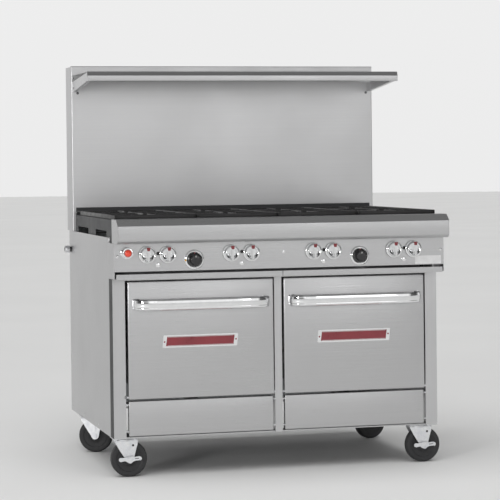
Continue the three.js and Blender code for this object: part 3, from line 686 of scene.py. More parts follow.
# ------------------------------------------------------- thermostats and bezels
for side, x in (("left", -327), ("right", 292)):
    z = 780.5
    m = face_front(x, PANEL_Y - 2.5, z)
    p = Piece()
    p.add(g_lathe([(0, 0), (26.2, 0), (27, 0.8), (27, 3.4)] + arc(25.8, 3.6, 1.2, 0, 80, 4) + [(21.5, 6.4), (19.4, 8.0), (18.4, 10), (17.6, 18), (17.2, 24)] + arc(15.2, 24.4, 2.0, 0, 85, 5) + [(10, 27), (0, 26.6)], 72, m), 0)
    for a in range(0, 360, 20):          # grip flutes round the hub
        c, s = math.cos(math.radians(a)), math.sin(math.radians(a))
        q = g_prism([(-1.5, 16.4), (1.5, 16.4), (1.1, 19.0), (-1.1, 19.0)], 9.5, 24.6, 0.5, 2)
        q = xform(q, m @ Matrix.Rotation(math.radians(a), 4, "Z"))
        p.add(q, 0)
    p.add(g_prism([(-3.2, -12), (3.2, -12), (2.4, 15), (-2.4, 15)], 25.6, 28.0, 0.8, 2, m), 0)
    for a in range(-150, 151, 15):       # plain graduations
        L = 2.6 if a % 30 else 4.0
        q = g_prism([(-0.42, 24.9 - L), (0.42, 24.9 - L), (0.42, 24.9), (-0.42, 24.9)], 4.4, 5.35 if L < 3 else 5.5, 0.08, 1)
        p.add(xform(q, m @ Matrix.Rotation(math.radians(a + 180), 4, "Z")), 1)
    p.add(g_prism([(-2.6, 25.9), (2.6, 25.9), (0.8, 20.4), (-0.8, 20.4)], 4.3, 6.6, 0.2, 1, m), 2)
    p.add(g_prism([(-1.0, 9.2), (1.0, 9.2), (1.0, 14.6), (-1.0, 14.6)], 27.6, 28.4, 0.15, 1, m), 1)
    p.make("thermostat_dial_" + side, [BLACK, WHITE, KNOB_RED], "thermostat_" + side, "black_plastic", ["thermostat_knob_" + side])

    b = Piece()
    m0 = face_front(x, PANEL_Y, z)
    b.add(g_lathe([(27.9, 0.05), (28.0, 6.4)] + arc(29.4, 6.8, 1.4, 180, 95, 4) + [(31.2, 7.9), (33.0, 6.4)] + arc(33.6, 3.8, 1.9, 40, -5, 4) + [(36.0, 1.4), (36.2, 0.05)], 72, m0, closed=True), 0)
    b.add(g_lathe([(36.1, 0.05), (36.1, 0.5), (28.2, 1.2), (0, 1.3), (0, 0.05)], 48, m0), 0)
    b.make("thermostat_bezel_" + side, [CHROME], "range_body", "chrome")
    lamp = Piece()
    ml = face_front(x - 33.2, PANEL_Y, z - 2)
    lamp.add(g_lathe([(0, 0.1), (4.6, 0.1), (4.6, 6.6), (4.0, 7.4), (3.4, 7.6), (0, 7.6)], 28, ml), 0)
    lamp.add(g_lathe([(0, 7.4), (3.3, 7.4), (3.3, 8.6), (2.7, 9.8), (1.5, 10.5), (0, 10.7)], 28, ml), 1)
    lamp.make("pilot_lamp_" + side, [CHROME, AMBER if side == "left" else CHROME], "range_body", "chrome")

# ---------------------------------------------------------------------- igniter
m = face_front(-572, PANEL_Y, 809)
p = Piece()
p.add(g_lathe([(13.2, 23.6), (13.3, 25.0)] + arc(14.8, 25.3, 1.5, 180, 80, 4) + [(17.0, 26.3)] + arc(18.0, 24.8, 1.5, 70, -5, 4) + [(18.3, 20.5), (18.3, 3.5), (19.8, 1.8), (21.6, 1.2), (21.9, 0.05), (18.15, 0.05), (18.15, 23.6)], 64, m, closed=True), 0)
p.make("igniter_bezel", [CHROME], "range_body", "chrome")
p = Piece()
p.add(g_lathe([(0, -8), (5, -8), (5, 8.2), (11.6, 8.2), (12, 8.8), (12, 29)] + arc(10.0, 29.4, 2.0, 0, 60, 4) + [(8.2, 32.6), (5.5, 33.8), (2.8, 34.5), (0, 34.8)], 56, m), 0)
p.make("igniter_cap", [BUTTON], "igniter", "red_plastic", ["igniter_button"])

# ------------------------------------------------- trim on the control panel
p = Piece()
for x in (-605, 605):
    screw(p, x, PANEL_Y, 797, 4.6, 2.4, hexa=False)
screw(p, 4.6, PANEL_Y, 800.6, 4.2, 1.0, hexa=False)
for px in PAIR_X:
    m = face_front(px + 2, PANEL_Y, 764)
    p.add(g_lathe([(0, 0.05), (8.2, 0.05), (8.2, 0.7)] + arc(7.4, 0.9, 0.8, 0, 80, 3) + [(4, 2.3), (0, 2.6)], 40, m), 0)
p.make("panel_screws", [CHROME], "range_body", "chrome")
p = Piece()
for px in PAIR_X:                        # grommets lining the pilot holes
    m = face_front(px + 3, PANEL_Y, 805)
    p.add(g_lathe([(3.7, -2.2), (3.7, 0.6)] + arc(4.5, 0.7, 0.8, 180, 20, 4) + [(6.4, 0.05), (4.8, 0.0), (4.8, -2.2)], 32, m, closed=True), 0)
    p.add(g_lathe([(0, -3.0), (4.6, -3.0), (4.6, -2.2), (0, -2.2)], 24, m), 0)
p.make("pilot_grommets", [BLACK], "range_body", "black_plastic")
p = Piece()
p.add(g_prism([(506, 744.5), (607, 744.5), (607, 775), (506, 775)], 0.05, 0.7, 0.25, 2, face_front(0, PANEL_Y, 0)), 0)
for u, v in ((509.5, 748), (603.5, 748), (509.5, 771.5), (603.5, 771.5)):
    p.add(g_lathe([(0, 0.6), (1.5, 0.6), (1.3, 1.1), (0, 1.3)], 20, face_front(u, PANEL_Y, v)), 1)
p.make("blank_data_plate", [LABEL, CHROME], "range_body", "chrome")

# ----------------------------------------------------------------- front rail
p = Piece()
run = [(-20, 928), (-108, 928), (-135, 907), (-135, 853), (-122, 842.8), (-24, 842.8)]
p.add(g_profile(run, 1.6, 7.0, -614.6, 614.6, "x", 6), 0)
cap_out = [(a[0], a[1]) for a in bent_sheet(run, 1.6, 7.0, 0, 0, 6)]
for s in (-1, 1):
    mm = Matrix(((0, 0, 1, 0), (1, 0, 0, 0), (0, 1, 0, 0), (0, 0, 0, 1)))
    x0 = s * 614.0
    q = g_prism(cap_out, min(x0, x0 + s * 2.0), max(x0, x0 + s * 2.0), 0.55, 2, mm)
    p.add(q, 0)
p.make("front_rail_sheet", [STEEL], "range_body", "stainless", ["front_rail"], sharp=30)
DONE.add("front_rail")

# ---------------------------------------------------------------------- doors
for side, sx in (("left", -1), ("right", 1)):
    c = sx * 289.5
    p = Piece()
    p.add(g_pan(c - 269.5, c + 269.5, -12, 6, 281, 703, 1.5, 3.4, None, 4), 0)
    p.make("door_outer_" + side, [STEEL], "door_" + side, "stainless", ["door_skin_" + side], sharp=30)
    p = Piece()
    p.add(g_pan(c - 263.5, c + 263.5, 30, 6.4, 283, 701, 1.5, 4, (46, -5.5), 3), 0)
    p.make("door_inner_" + side, [ENAMEL], "door_" + side, "enamel", ["door_liner_" + side], sharp=30)
    p = Piece()
    for u in (-248, 248):
        for v in (300, 420, 560, 684):
            q = Matrix(((-1, 0, 0, c + u), (0, 0, 1, 30), (0, 1, 0, v), (0, 0, 0, 1)))
            screw(p, 0, 0, 0, 4.0, 2.2, 0, q, hexa=False)
    p.make("door_liner_screws_" + side, [CHROME], "door_" + side, "chrome")

    # strap handle: a crowned channel swept along its bow
    L, yb = 250.0, -12.2
    half = [(-L + 1.5, yb - 0.4), (-L + 3.2, yb - 11), (-L + 10, yb - 24), (-L + 24, yb - 36), (-L + 44, yb - 43.5), (-L + 70, yb - 47.0), (-L + 98, yb - 48.6), (-60, yb - 48.9)]
    full = half + [(0, yb - 49.0)] + [(-a, b) for a, b in half[::-1]]
    path = [Vector((c + q.x, q.y, 622)) for q in smooth_path([Vector((a, b, 0)) for a, b in full], 7)]
    # (out, up): outward face towards +side
    face = [(-5.5, 19.0), (-3.6, 19.9), (-1.0, 19.8), (1.6, 18.6), (3.4, 16.6), (4.4, 14.0), (4.9, 11.0), (5.2, 4.0), (5.2, -4.0), (4.9, -9.4), (4.4, -11.2), (3.9, -12.1), (4.1, -13.2), (3.9, -16.4), (3.0, -18.7), (1.2, -20.0), (-1.6, -19.2)]
    # the top edge rolls back towards the door
    inner = [(-1.6, -17.6), (0.8, -17.9), (1.9, -15.4), (2.3, -6.0), (2.3, 6.0), (2.0, 13.4), (1.0, 15.6), (-1.2, 17.2), (-5.5, 17.4)]
    sec = [(a, b) for a, b in face + inner]
    p = Piece()
    p.add(g_sweep(path, [(a, b) for a, b in sec]), 0)
    for s in (-1, 1):
        foot = [(-9, -20), (9, -20), (9, 20), (-9, 20)]
        p.add(g_prism(foot, 0.15, 3.4, 1.2, 3, face_front(c + s * (L - 10), -12, 622)), 0)
    p.make("door_handle_strap_" + side, [CHROME], "door_" + side, "chrome", ["door_handle_" + side], sharp=32)

    # blank badge: slanted plate, plain coloured field, two rivets
    bc = c - 5 if side == "left" else c - 4.5
    m = face_front(bc, -12, 485.5)
    p = Piece()
    p.add(g_prism([(-140, -21), (-137, -22.5), (133.5, -22.5), (136, -21), (140, 21), (137, 22.5), (-133.5, 22.5), (-136, 21)], 0.05, 1.9, 0.6, 3, m), 0)
    p.add(g_prism([(-127, -17.0), (122.5, -17.0), (127, 17.0), (-122.5, 17.0)], 1.7, 2.5, 0.3, 2, m), 1)
    for u, v in ((-132, -1.5), (132, 1.5)):
        p.add(g_lathe([(0, 1.8), (3.2, 1.8), (3.0, 2.7), (1.8, 3.5), (0, 3.8)], 28, face_front(bc + u, -12, 485.5 + v)), 1)
    for v0, v1 in ((-15.6, -14.6), (14.6, 15.6)):
        p.add(g_prism([(-122, v0), (121, v0), (121.2, v1), (-121.8, v1)], 2.4, 2.8, 0.1, 1, m), 0)
    p.make("badge_plate_" + side, [CHROME, MAROON], "door_" + side, "chrome")

# ---------------------------------------------------------------- kick panels
for side, sx in (("left", -1), ("right", 1)):
    a, b = sorted((sx * 22, sx * 558))
    p = Piece()
    p.add(g_pan(a, b, -4, 14, 148, 274, 1.5, 3.0, None, 4), 0)
    p.make("kick_sheet_" + side, [STEEL], "range_body", "stainless", ["kick_panel_" + side], sharp=30)
    DONE.add("kick_panel_" + side)
p = Piece()
for x0, x1 in ((-567, -558.3), (-21.7, -14), (14, 21.7), (558.3, 567)):
    for z in (166, 262):
        mm = Matrix(((0, 0, 1, 0), (1, 0, 0, 0), (0, 1, 0, z), (0, 0, 0, 1)))
        p.add(g_lathe([(0, x0 + 0.05), (3.2, x0 + 0.05), (3.2, x1 - 0.05), (0, x1 - 0.05)], 20, mm), 0)
p.make("kick_panel_pins", [ZINC], "range_body", "zinc")

# ----------------------------------------------------------- cabinet side skins
for side, sx in (("left", -1), ("right", 1)):
    p = Piece()
    t = 1.5
    if sx < 0:
        run = [(-602, 63.2), (-613, 63.2), (-613, 912 - 0.2)]
        q = g_profile([(run[2][0], run[2][1]), (run[1][0], run[1][1]), (run[0][0], run[0][1])], t, 7.5, 140.2, 860, "z", 7)
    else:
        q = g_profile([(602, 63.2), (613, 63.2), (613, 911.8)], t, 7.5, 140.2, 860, "z", 7)
    p.add(q, 0)
    for y in (300, 620, 880):
        for z in (158, 700):
            mm = Matrix(((0, 0, sx, sx * 613), (sx, 0, 0, y), (0, 1, 0, z), (0, 0, 0, 1)))
            if abs(y - 880) < 1 or z == 158:
                screw(p, 0, 0, 0, 3.6, 1.6, 1, mm, hexa=False)
    p.make("side_skin_" + side, [STEEL_V, CHROME], "range_body", "stainless", ["side_panel_" + side], sharp=30)
    DONE.add("side_panel_" + side)

p = Piece()                              # painted shade: near-black strips on the sides of the outer stiles, standing in for the shade there
for s in (-1, 1):
    a, b = sorted((s * 612.05, s * 612.5))
    p.add(g_box(a, b, 2.6, 61.4, 141.5, 712), 0)
p.make("stile_side_painted_shade", [SHADOW], "range_body", "frame_steel")

p = Piece()                              # hexagon union round the gas stub
mm = Matrix(((0, 0, 1, 0), (1, 0, 0, 884), (0, 1, 0, 786), (0, 0, 0, 1)))
hexa = [(15.2 * math.cos(math.radians(a)), 15.2 * math.sin(math.radians(a))) for a in range(0, 360, 60)]
p.add(g_lathe([(10.7, -636.8), (13.2, -636.8), (13.8, -636.0), (13.8, -628.5), (10.7, -628.5)], 40, mm, closed=True), 0)
p.add(g_lathe([(10.7, -628.2), (15.4, -628.2), (16.2, -627.0), (16.2, -619.0), (15.4, -617.8), (10.7, -617.8)], 6, mm, closed=True), 0)
p.make("gas_union", [ZINC], "range_body", "zinc")

# ------------------------------------------------------------- riser and shelf
p = Piece()
run = [(-622, 897.8), (-622, 775), (622, 775), (622, 897.8)]
p.add(g_profile(run, 1.5, 4.5, 954, 1508.6, "z", 6), 0)
for s in (-1, 1):
    q = [(s * 607.6, 775), (s * 622, 775), (s * 622, 897.8)]
    p.add(g_profile(q if s > 0 else q[::-1], 1.5, 4.5, 862.2, 954.0, "z", 6), 0)
lip = [(775.2, 1490), (775.2, 1511), (790, 1511)]
p.add(g_profile(lip[::-1], 1.5, 3.2, -621.6, 621.6, "x", 5), 0)
p.make("riser_sheet", [STEEL_S], "range_body", "stainless", ["riser_front_panel"], sharp=30)
DONE.add("riser_front_panel")

p = Piece()
run = [(774.2, 1450), (774.2, 1475), (437, 1475), (430.2, 1459), (430.2, 1438), (444, 1438)]
p.add(g_profile(run, 1.5, 2.2, -615.4, 615.4, "x", 4), 0)
endcap = [(437.6, 1474.2), (431.2, 1458.9), (431.2, 1439), (446, 1439), (446, 1474.2)]
for s in (-1, 1):
    mm = Matrix(((0, 0, 1, 0), (1, 0, 0, 0), (0, 1, 0, 0), (0, 0, 0, 1)))
    a, b = sorted((s * 614.8, s * 616.9))
    p.add(g_prism(endcap, a, b, 0.5, 2, mm), 0)
p.make("high_shelf_sheet", [STEEL], "range_body", "stainless", ["high_shelf"], sharp=30)
DONE.add("high_shelf")

p = Piece()
for s in (-1, 1):
    for y, z in ((752, 1424), (752, 1462)):
        mm = Matrix(((0, 0, s, s * 615), (s, 0, 0, y), (0, 1, 0, z), (0, 0, 0, 1)))
        screw(p, 0, 0, 0, 4.4, 1.9, 0, mm, hexa=False)
    screw(p, s * 596, 775, 1405, 4.6, 2.6)
p.make("shelf_screws", [DARKSCREW], "range_body", "zinc")
p = Piece()
back = Matrix(((-1, 0, 0, 0), (0, 0, 1, 904), (0, 1, 0, 0), (0, 0, 0, 1)))
for x in (-600, -300, 0, 300, 600):
    for z in (950, 1230, 1495):
        mm = back.copy(); mm[0][3] = x; mm[2][3] = z
        screw(p, 0, 0, 0, 4.2, 2.0, 0, mm)
for x in (-590, -300, 0, 300, 590):
    for z in (166, 520, 880):
        mm = back.copy(); mm[0][3] = x; mm[2][3] = z; mm[1][3] = 901
        screw(p, 0, 0, 0, 4.2, 2.0, 0, mm)
p.make("back_screws", [ZINC], "range_body", "zinc")

# --------------------------------------------------------------------- grates
def grate_shape(c):
    """Cast grate: outer frame, cross bar and eight fingers round each burner, tapering to rounded tips."""
    p = Piece()
    hw, y0, y1, mid = 150.0, -17.0, 701.0, 342.0
    top, r = 941.6, 2.6

    def bar(xa, xb, ya, yb, zb=925.6, zt=top, rr=r):
        p.add(g_box(c + xa, c + xb, ya, yb, zb, zt, rr, 2))
    bar(-hw + 0.3, -hw + 9.6, y0, y1)
    bar(hw - 9.6, hw - 0.3, y0, y1)
    bar(-hw + 2, hw - 2, y0, y0 + 9.4)
    bar(-hw + 2, hw - 2, y1 - 9.4, y1)
    bar(-hw + 2, hw - 2, mid - 4.8, mid + 4.8)
    for y in (163, 521):
        for a in range(0, 360, 45):
            t = math.radians(a)
            d = Vector((math.cos(t), math.sin(t)))
            start = 36 if a % 90 == 0 else 52
            lim_x = (hw - 5) / abs(d.x) if abs(d.x) > 1e-6 else 1e9
            ymin, ymax = (y0 + 4, mid) if y < mid else (mid, y1 - 4)
            lim_y = ((ymax - y) / d.y if d.y > 1e-6 else ((ymin - y) / d.y if d.y < -1e-6 else 1e9))
            end = min(lim_x, lim_y)
            n = Vector((-d.y, d.x))
            # plan taper: narrow at the tip, wide at the root; the top rises slightly to the tip
            w0, w1 = 3.1, 5.2
            v, f = [], []
            rows = [(start, w0 * 0.72, 930.2, 939.6), (start + 2.5, w0, 929.0, top + 0.3), (start + 16, w0 * 1.12, 928.2, top + 0.3), (end - 8, w1, 926.6, top), (end, w1 * 1.15, 925.8, top - 0.2)]
            for dist, w, zb, zt in rows:
                q = Vector((c, y)) + d * dist
                for a2, z2 in ((-w * 0.72, zb), (-w, zb + 3), (-w * 0.92, zt - 2.4), (-w * 0.5, zt), (w * 0.5, zt), (w * 0.92, zt - 2.4), (w, zb + 3), (w * 0.72, zb)):
                    s2 = q + n * a2
                    v.append((s2.x, s2.y, z2))
            k = 8
            for i in range(len(rows) - 1):
                for j in range(k):
                    l = (j + 1) % k
                    f.append((i * k + j, i * k + l, (i + 1) * k + l, (i + 1) * k + j))
            f.append(tuple(range(k))[::-1])
            f.append(tuple(range((len(rows) - 1) * k, len(rows) * k)))
            p.add((v, f))
    for x in (-hw + 5, hw - 5):          # locating feet under the corners
        for y in (20, 664):
            p.add(g_box(c + x - 4, c + x + 4, y - 9, y + 9, 925.4, 930, 1.2, 2))
    return p


for i in range(4):
    c = (i - 1.5) * 303
    o = grate_shape(c).make("grate_casting_%d" % (i + 1), [IRON], "range_body", "cast_iron", ["grate_%d" % (i + 1)], sharp=50)
    DONE.add("grate_%d" % (i + 1))

# -------------------------------------------------------------------- burners
for i, px in enumerate(PAIR_X):
    c = (i - 1.5) * 303
    p = Piece()
    xs = (px - 37.5, px + 37.5)
    for y, vx in ((163, xs[0]), (521, xs[1])):
        m = Matrix.Translation((c, y, 0))
        p.add(g_lathe([(0, 850), (22, 850), (24, 853), (24, 869), (27, 873), (46, 880.5), (49.2, 882.4)] + [(50, 884.0), (50, 889.2), (48.0, 890.2), (46.6, 890.4), (46.6, 892.6), (48.4, 893.2), (49.0, 895), (48.6, 898)] +
                      arc(44.5, 898.6, 4.2, 5, 80, 4) + [(36, 903.4), (30, 903.0), (26, 901.6), (10, 901.2), (0, 901.4)], 72, m), 0)
        for a in range(0, 360, 10):      # port ribs under the cap
            q = g_box(45.4, 49.4, -1.6, 1.6, 888.8, 894.0, 0.3, 1)
            p.add(xform(q, m @ Matrix.Rotation(math.radians(a), 4, "Z")), 0)
        pts = smooth_path([(vx, -3, 850), (vx, 20, 850), (vx, max(60, y - 90), 850), (vx + (c - vx) * 0.35, y - 40, 850), (c, y - 6, 852)], 8)
        sc = [1.0 + 0.35 * max(0, 1 - k / 6) for k in range(len(pts))]
        p.add(g_sweep(pts, circle(11, 20), scale=sc), 0)
        mm = Matrix(((1, 0, 0, vx), (0, 0, 1, 0), (0, 1, 0, 850), (0, 0, 0, 1)))
        p.add(g_lathe([(12.4, -11.8), (16.6, -11.8), (17, -11.2), (17, -4.4), (15.6, -3), (13.4, -2), (13.4, -11)], 32, mm, closed=True), 0)
    p.add(g_tube([(xs[0], 66, 850), (xs[1], 66, 850)], 4.2, 14), 0)
    p.make("burner_casting_%d" % (i + 1), [IRON_B], "range_body", "cast_iron", ["burner_pair_%d" % (i + 1)], sharp=35)
    DONE.add("burner_pair_%d" % (i + 1))
    pipe = Piece()                       # pilot feed and its two tips
    for y in (163, 521):
        pts = smooth_path([(px + 3, -20, 846), (px + 3, 20, 872), (c + 62, y - 60, 876), (c + 62, y - 8, 878), (c + 62, y, 893)], 7)
        pipe.add(g_tube(pts, 2.4, 12), 0)
        pipe.add(g_lathe([(0, 892), (4.2, 892), (4.2, 899), (3.4, 900), (2.6, 903), (0, 903)], 24, Matrix.Translation((c + 62, y, 0))), 0)
    pipe.make("pilot_tubes_%d" % (i + 1), [BRASS], "range_body", "zinc")

# ---------------------------------------------------------------- oven details
for side, sx in (("left", -1), ("right", 1)):
    c = sx * 289.5
    p = Piece()
    rw, y0, y1, z = 238.0, 62.5, 661.5, 486.0
    ring = [(c - rw + 3, y0 + 14, z), (c - rw + 6, y0 + 6, z), (c - rw + 14, y0 + 3, z), (c + rw - 14, y0 + 3, z), (c + rw - 6, y0 + 6, z), (c + rw - 3, y0 + 14, z),
            (c + rw - 3, y1 - 14, z), (c + rw - 6, y1 - 6, z), (c + rw - 14, y1 - 3, z), (c - rw + 14, y1 - 3, z), (c - rw + 6, y1 - 6, z), (c - rw + 3, y1 - 14, z)]
    p.add(g_tube(ring, 3.0, 12, closed=True), 0)
    for y in (200, 363, 520):
        p.add(g_tube([(c - rw + 3, y, z - 0.4), (c + rw - 3, y, z - 0.4)], 2.5, 12), 0)
    for i in range(1, 16):
        x = c - rw + 3 + (2 * rw - 6) * i / 16
        p.add(g_tube([(x, y0 + 3, z + 2.4), (x, y1 - 3, z + 2.4)], 1.6, 10), 0)
    p.make("oven_rack_wire_" + side, [WIRE], "rack_" + side, "rack_wire", ["oven_rack_" + side], sharp=60)
    DONE.add("oven_rack_" + side)
    p = Piece()
    mm = Matrix(((1, 0, 0, c), (0, 0, 1, 0), (0, 1, 0, 256), (0, 0, 0, 1)))
    p.add(g_lathe([(0, 76.2), (11, 76.2), (12.8, 78), (12.8, 616), (9, 619.8), (0, 619.8)], 40, mm), 0)
    p.add(g_box(c - 120, c + 120, 330, 354, 248, 262, 2.5, 3), 0)
    for k in range(24):
        for s in (-1, 1):
            q = Matrix(((s, 0, 0, c + s * 12.5), (0, 1, 0, 110 + k * 20), (0, 0, 1, 258), (0, 0, 0, 1))) @ Matrix.Rotation(math.radians(90), 4, "Y")
            p.add(g_lathe([(0, -1), (2.2, -1), (2.2, 0.7), (1.4, 0.7), (1.4, -0.5), (0, -0.5)], 12, q), 0)
    p.make("oven_burner_tube_" + side, [IRON_B], "range_body", "cast_iron", ["oven_burner_" + side], sharp=40)
    DONE.add("oven_burner_" + side)
    p = Piece()
    for u in (-249, 249):
        for z in (318, 500, 688):
            screw(p, c + u, 32.5, z, 3.4, 1.5, hexa=False)
    p.make("oven_frame_screws_" + side, [CHROME], "range_body", "chrome")
    DONE |= {"door_skin_" + side, "door_liner_" + side, "door_handle_" + side}

# -------------------------------------------------------------------- casters
CASTERS = {"front_left": (-570, 33, 0), "front_right": (546, 33, 0), "rear_left": (-572, 682, -22), "rear_right": (555, 686, 14)}
for name, (kx, ky, deg) in CASTERS.items():
    a = math.radians(deg)
    base = Matrix.Translation((kx, ky, 0)) @ Matrix.Rotation(a, 4, "Z")
    axle = base @ Matrix(((1, 0, 0, 16), (0, 0, 1, 0), (0, 1, 0, 65.5), (0, 0, 0, 1)))   # local Z runs along the axle (+y)
    # wheel: elastomer tyre, web with raised rings, hub, bearing
    p = Piece()
    tyre = [(47, -15.2), (48.5, -15.9), (58, -15.9), (60.5, -15.5), (61.2, -14.9)] + arc(58.3, -9.0, 7.1, -60, -5, 7) + [(65.45, -4), (65.45, 4)] + arc(58.3, 9.0, 7.1, 5, 60, 7) + [(61.2, 14.9), (60.5, 15.5), (58, 15.9), (48.5, 15.9), (47, 15.2)]
    web = [(44.5, 13.4), (30, 11.8), (28.5, 12.6), (26.5, 12.6), (25, 11.6), (19, 13.4), (17.6, 16.2), (15.2, 17.6), (8.4, 17.6), (6.6, 17.0)]
    prof = [(6.6, -17.0)] + [(r, -h) for r, h in web[::-1]][1:] + tyre + web
    p.add(g_lathe(prof, 96, axle, closed=True), 0)
    p.make("wheel_" + name + "_tyre", [TYRE], "wheel_" + name, "caster_tread", ["caster_wheel_" + name], sharp=28)
    DONE.add("caster_wheel_" + name)
    hub = Piece()
    for s in (-1, 1):
        mm = axle @ Matrix.Rotation(0 if s > 0 else math.pi, 4, "X")
        hub.add(g_lathe([(7.2, 17.3), (14.6, 17.3), (14.6, 18.2), (13.4, 18.9), (8.4, 18.9), (7.2, 18.2)], 40, mm, closed=True), 0)
    hub.make("wheel_" + name + "_bearing", [ZINC], "wheel_" + name, "zinc")

    # pressed fork: two creased legs, swivel head with raceway, axle bolt and nut
    f = Piece()
    leg = [(-38, 128), (-39, 134.6), (44, 134.6), (45.4, 128), (44.6, 119), (41, 107), (37.4, 94), (34, 80), (32.6, 70), (30, 60), (25.6, 54), (19.6, 51.2), (12.6, 51.2), (6.6, 54), (2.4, 60), (-1, 68), (-12, 84), (-24, 103)]
    for s in (-1, 1):
        mm = base @ Matrix(((1, 0, 0, 0), (0, 0, 1, 0), (0, 1, 0, 0), (0, 0, 0, 1)))
        lo, hi = (-23.6, -20.4) if s < 0 else (20.4, 23.6)
        f.add(g_prism(leg, lo, hi, 1.0, 2, mm), 0)
        o = -1 if s < 0 else 1
        rib = [(4, 130), (15, 130), (19.5, 84), (17, 84), (13, 84), (6.5, 104)]   # pressed crease
        lo2, hi2 = sorted((s * 22.6, s * 26.2))
        f.add(g_prism(rib, lo2, hi2, 1.3, 3, mm), 0)
        hole = [(28 + 4.2 * math.cos(t * math.pi / 12), 115 + 4.2 * math.sin(t * math.pi / 12)) for t in range(24)]
        lo3, hi3 = sorted((s * 23.2, s * 23.95))
        f.add(g_prism(hole, lo3, hi3, 0, 1, mm), 1)
    f.add(xform(g_box(-39.5, 45.5, -23.6, 23.6, 131.4, 135.8, 1.6, 3), base), 0)
    f.add(g_lathe([(0, 120), (13, 120), (14, 121), (14, 131), (27, 131), (31, 133), (31, 135.4), (28, 136.3), (0, 136.3)], 48, base), 0)
    for s in (-1, 1):
        mm = axle @ Matrix.Rotation(0 if s > 0 else math.pi, 4, "X")
        lo = 23.4
        f.add(g_lathe([(0, lo), (9.6, lo), (9.6, lo + 1.0), (0, lo + 1.0)], 32, mm), 0)
        f.add(g_prism([(8.0 * math.cos(math.radians(q)), 8.0 * math.sin(math.radians(q))) for q in range(0, 360, 60)], lo + 0.8, lo + 4.2, 0.6, 2, mm), 0)
    f.add(g_lathe([(0, -27.4), (5.8, -27.4), (5.8, 27.4), (0, 27.4)], 32, axle), 0)
    f.make("fork_" + name + "_pressing", [ZINC, BLACK], "fork_" + name, "zinc", ["caster_fork_" + name], sharp=30)
    DONE.add("caster_fork_" + name)
    plate = Piece()
    plate.add(xform(g_box(-44, 44, -33, 42, 138.2, 140.8, 1.0, 2), base if deg == 0 else Matrix.Translation((kx, ky, 0))), 0)
    for u in (-34, 34):
        for v in (-23, 30):
            q = Matrix.Translation((kx + u, ky + v, 0)) @ Matrix.Rotation(math.pi, 4, "X")
            plate.add(g_prism([(6.2 * math.cos(math.radians(t)), 6.2 * math.sin(math.radians(t))) for t in range(0, 360, 60)], -138.3, -134.6, 0.5, 2, q), 0)
    plate.make("caster_plate_" + name, [ZINC], "range_body", "zinc")
    if name.startswith("front"):
        b = Piece()
        mm = base @ Matrix(((1, 0, 0, 0), (0, 0, 1, 0), (0, 1, 0, 0), (0, 0, 0, 1)))
        bar = arc(-18.5, 65.2, 7.6, 270, 90, 8)[::1]
        outline = [(-17, 57.6), (-4, 60.2), (4, 57.0)] + arc(15.4, 60.5, 9.4, 215, 325, 7) + [(27, 57.6), (35, 60.6), (48, 61.4)] + arc(48.8, 68.4, 7.0, -85, 85, 7) + [(46, 75.6), (32, 73.8), (26, 76.2), (8, 76.2), (2, 72.6), (-10, 72.0)] + arc(-18.5, 65.4, 7.4, 100, 260, 7)
        b.add(g_prism(outline, -32.0, -28.6, 0.9, 3, mm), 0)
        b.add(g_prism([(33, 66.2), (47, 66.8), (47, 69.6), (33, 69.0)], -32.5, -31.7, 0.3, 2, mm), 1)
        b.add(g_prism(arc(49.4, 68.4, 7.2, -80, 80, 8) + [(50.4, 75.2), (50.4, 61.6)], -39.6, -28.8, 0.8, 3, mm), 0)
        b.add(g_lathe([(0, -33.4), (6.6, -33.4), (7.2, -32.8), (7.2, -31.6), (0, -31.6)], 32, axle), 0)
        b.make("brake_bar_" + name, [ZINC, DARKSCREW], "brake_" + name, "zinc", ["brake_lever_" + name], sharp=32)
        DONE.add("brake_lever_" + name)

# ---------------------------------------------------- finishes on the CAD nodes
keep(["welded_frame"], STEEL_D, 0.6)
keep(["rear_panel", "riser_back_panel"], GALV, 0.5)
keep(["burner_box"], BOX, 0.7)
keep(["control_panel"], STEEL, 0.5)
keep(["gas_pipe"], PIPE, 0.7)
keep(["drip_tray_left", "drip_tray_right"], STEEL, 0.6)
keep(["oven_cavity_left", "oven_cavity_right"], ENAMEL, 0.6)
keep(["door_hinge_rod_left", "door_hinge_rod_right"], ZINC, 0.6)
keep(["shelf_bracket_left", "shelf_bracket_right"], STEEL, 0.5)

# --------------------------------------------------------------- floor and light
def stage():
    bm = bmesh.new()
    bmesh.ops.create_circle(bm, cap_ends=True, radius=60, segments=96)
    me = bpy.data.meshes.new("floor")
    bm.to_mesh(me)
    bm.free()
    o = bpy.data.objects.new("floor", me)
    SC.collection.objects.link(o)
    n = Nodes("floor_pale")
    cloud = n.noise(n.mapped((0.6, 0.6, 0.6)), 1.0, 3, 0.5)
    n.color(n.mix(n.range(cloud, 0, 1), (0.71, 0.71, 0.705), (0.74, 0.74, 0.735)))
    n.set(Roughness=0.75)
    me.materials.append(n.mat)


def lamp(name, at, target, size, power, color=(1, 1, 1)):
    d = bpy.data.lights.new(name, "AREA")
    d.shape = "RECTANGLE"
    d.size, d.size_y = size
    d.energy = power
    d.color = color
    o = bpy.data.objects.new(name, d)
    o.location = at
    o.rotation_mode = "QUATERNION"
    o.rotation_quaternion = (Vector(target) - Vector(at)).to_track_quat("-Z", "Y")
    SC.collection.objects.link(o)
    o.visible_camera = False
    return o


stage()
lamp("soft_front", (-2.6, -6.4, 2.6), (0, 0, 0.8), (5.0, 3.0), 14)
lamp("soft_glow", (2.1, -6.6, 2.0), (0, 0, 1.0), (1.1, 2.0), 7)
lamp("small_key", (-4.7, -5.2, 1.5), (0, 0, 0.7), (0.7, 0.9), 95)

sky = bpy.data.lights.new("soft_sky", "SUN")
sky.energy = 2.30
sky.angle = math.radians(75)
sun = bpy.data.objects.new("soft_sky", sky)
sun.rotation_mode = "QUATERNION"
sun.rotation_quaternion = Vector((0.22, 0.30, -1)).to_track_quat("-Z", "Y")
sun.visible_glossy = False
SC.collection.objects.link(sun)

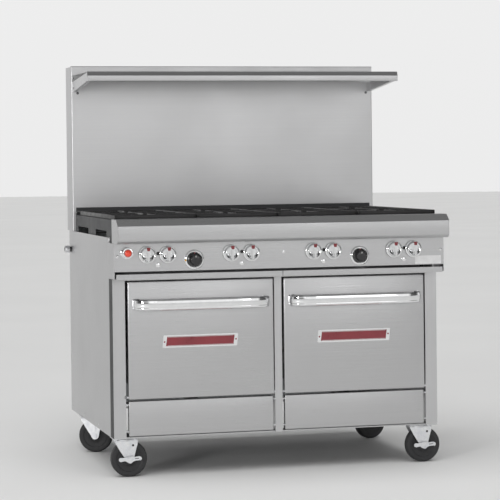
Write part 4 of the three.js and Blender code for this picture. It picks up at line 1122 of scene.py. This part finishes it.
world = bpy.data.worlds.new("studio")
SC.world = world
world.use_nodes = True
t = world.node_tree
t.nodes.clear()
wo = t.nodes.new("ShaderNodeOutputWorld")
bg = t.nodes.new("ShaderNodeBackground")
co = t.nodes.new("ShaderNodeTexCoord")
sep = t.nodes.new("ShaderNodeSeparateXYZ")
rmp = t.nodes.new("ShaderNodeValToRGB")
t.links.new(co.outputs["Generated"], sep.inputs[0])
t.links.new(sep.outputs["Z"], rmp.inputs[0])
def stops(ramp, first, last, between):
    e = ramp.color_ramp.elements
    e[0].position, e[0].color = 0.0, (first, first, first, 1)
    e[1].position, e[1].color = 1.0, (last, last, last, 1)
    for pos, v in between:
        q = e.new(pos)
        q.color = (v, v, v, 1)


def span(socket, a, b):
    n = t.nodes.new("ShaderNodeMapRange")
    n.inputs["From Min"].default_value = a
    n.inputs["From Max"].default_value = b
    t.links.new(socket, n.inputs["Value"])
    return n.outputs[0]


# bright towards the horizon and dim overhead; in front, dark flats to the left and right
stops(rmp, 0.84, 0.27, ((0.15, 0.86), (0.33, 0.60), (0.47, 0.16), (0.66, 0.18)))
flats = t.nodes.new("ShaderNodeValToRGB")
stops(flats, 0.10, 0.08, ((0.12, 0.10), (0.19, 0.40), (0.27, 0.20), (0.37, 0.26), (0.45, 1.0), (0.52, 1.12), (0.76, 1.12), (0.83, 0.16)))
t.links.new(span(sep.outputs["X"], -1.0, 1.0), flats.inputs[0])
both = t.nodes.new("ShaderNodeMix")
both.data_type = "RGBA"
t.links.new(span(sep.outputs["Y"], -0.3, 0.25), both.inputs[0])
t.links.new(flats.outputs[0], both.inputs[6])
both.inputs[7].default_value = (1, 1, 1, 1)
mul = t.nodes.new("ShaderNodeMix")
mul.data_type = "RGBA"
mul.blend_type = "MULTIPLY"
mul.inputs[0].default_value = 1.0
t.links.new(rmp.outputs[0], mul.inputs[6])
t.links.new(both.outputs[2], mul.inputs[7])
t.links.new(mul.outputs[2], bg.inputs[0])
bg.inputs[1].default_value = 1.0
t.links.new(bg.outputs[0], wo.inputs[0])

SC.view_settings.view_transform = "Standard"
SC.view_settings.look = "None"
SC.view_settings.exposure = 0.0

left = sorted(set(NODES) - DONE - {n for o in bpy.data.objects for n in o.get("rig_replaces", [])})
if left:
    raise SystemExit("no finish on " + ", ".join(left))

bpy.context.view_layer.update()
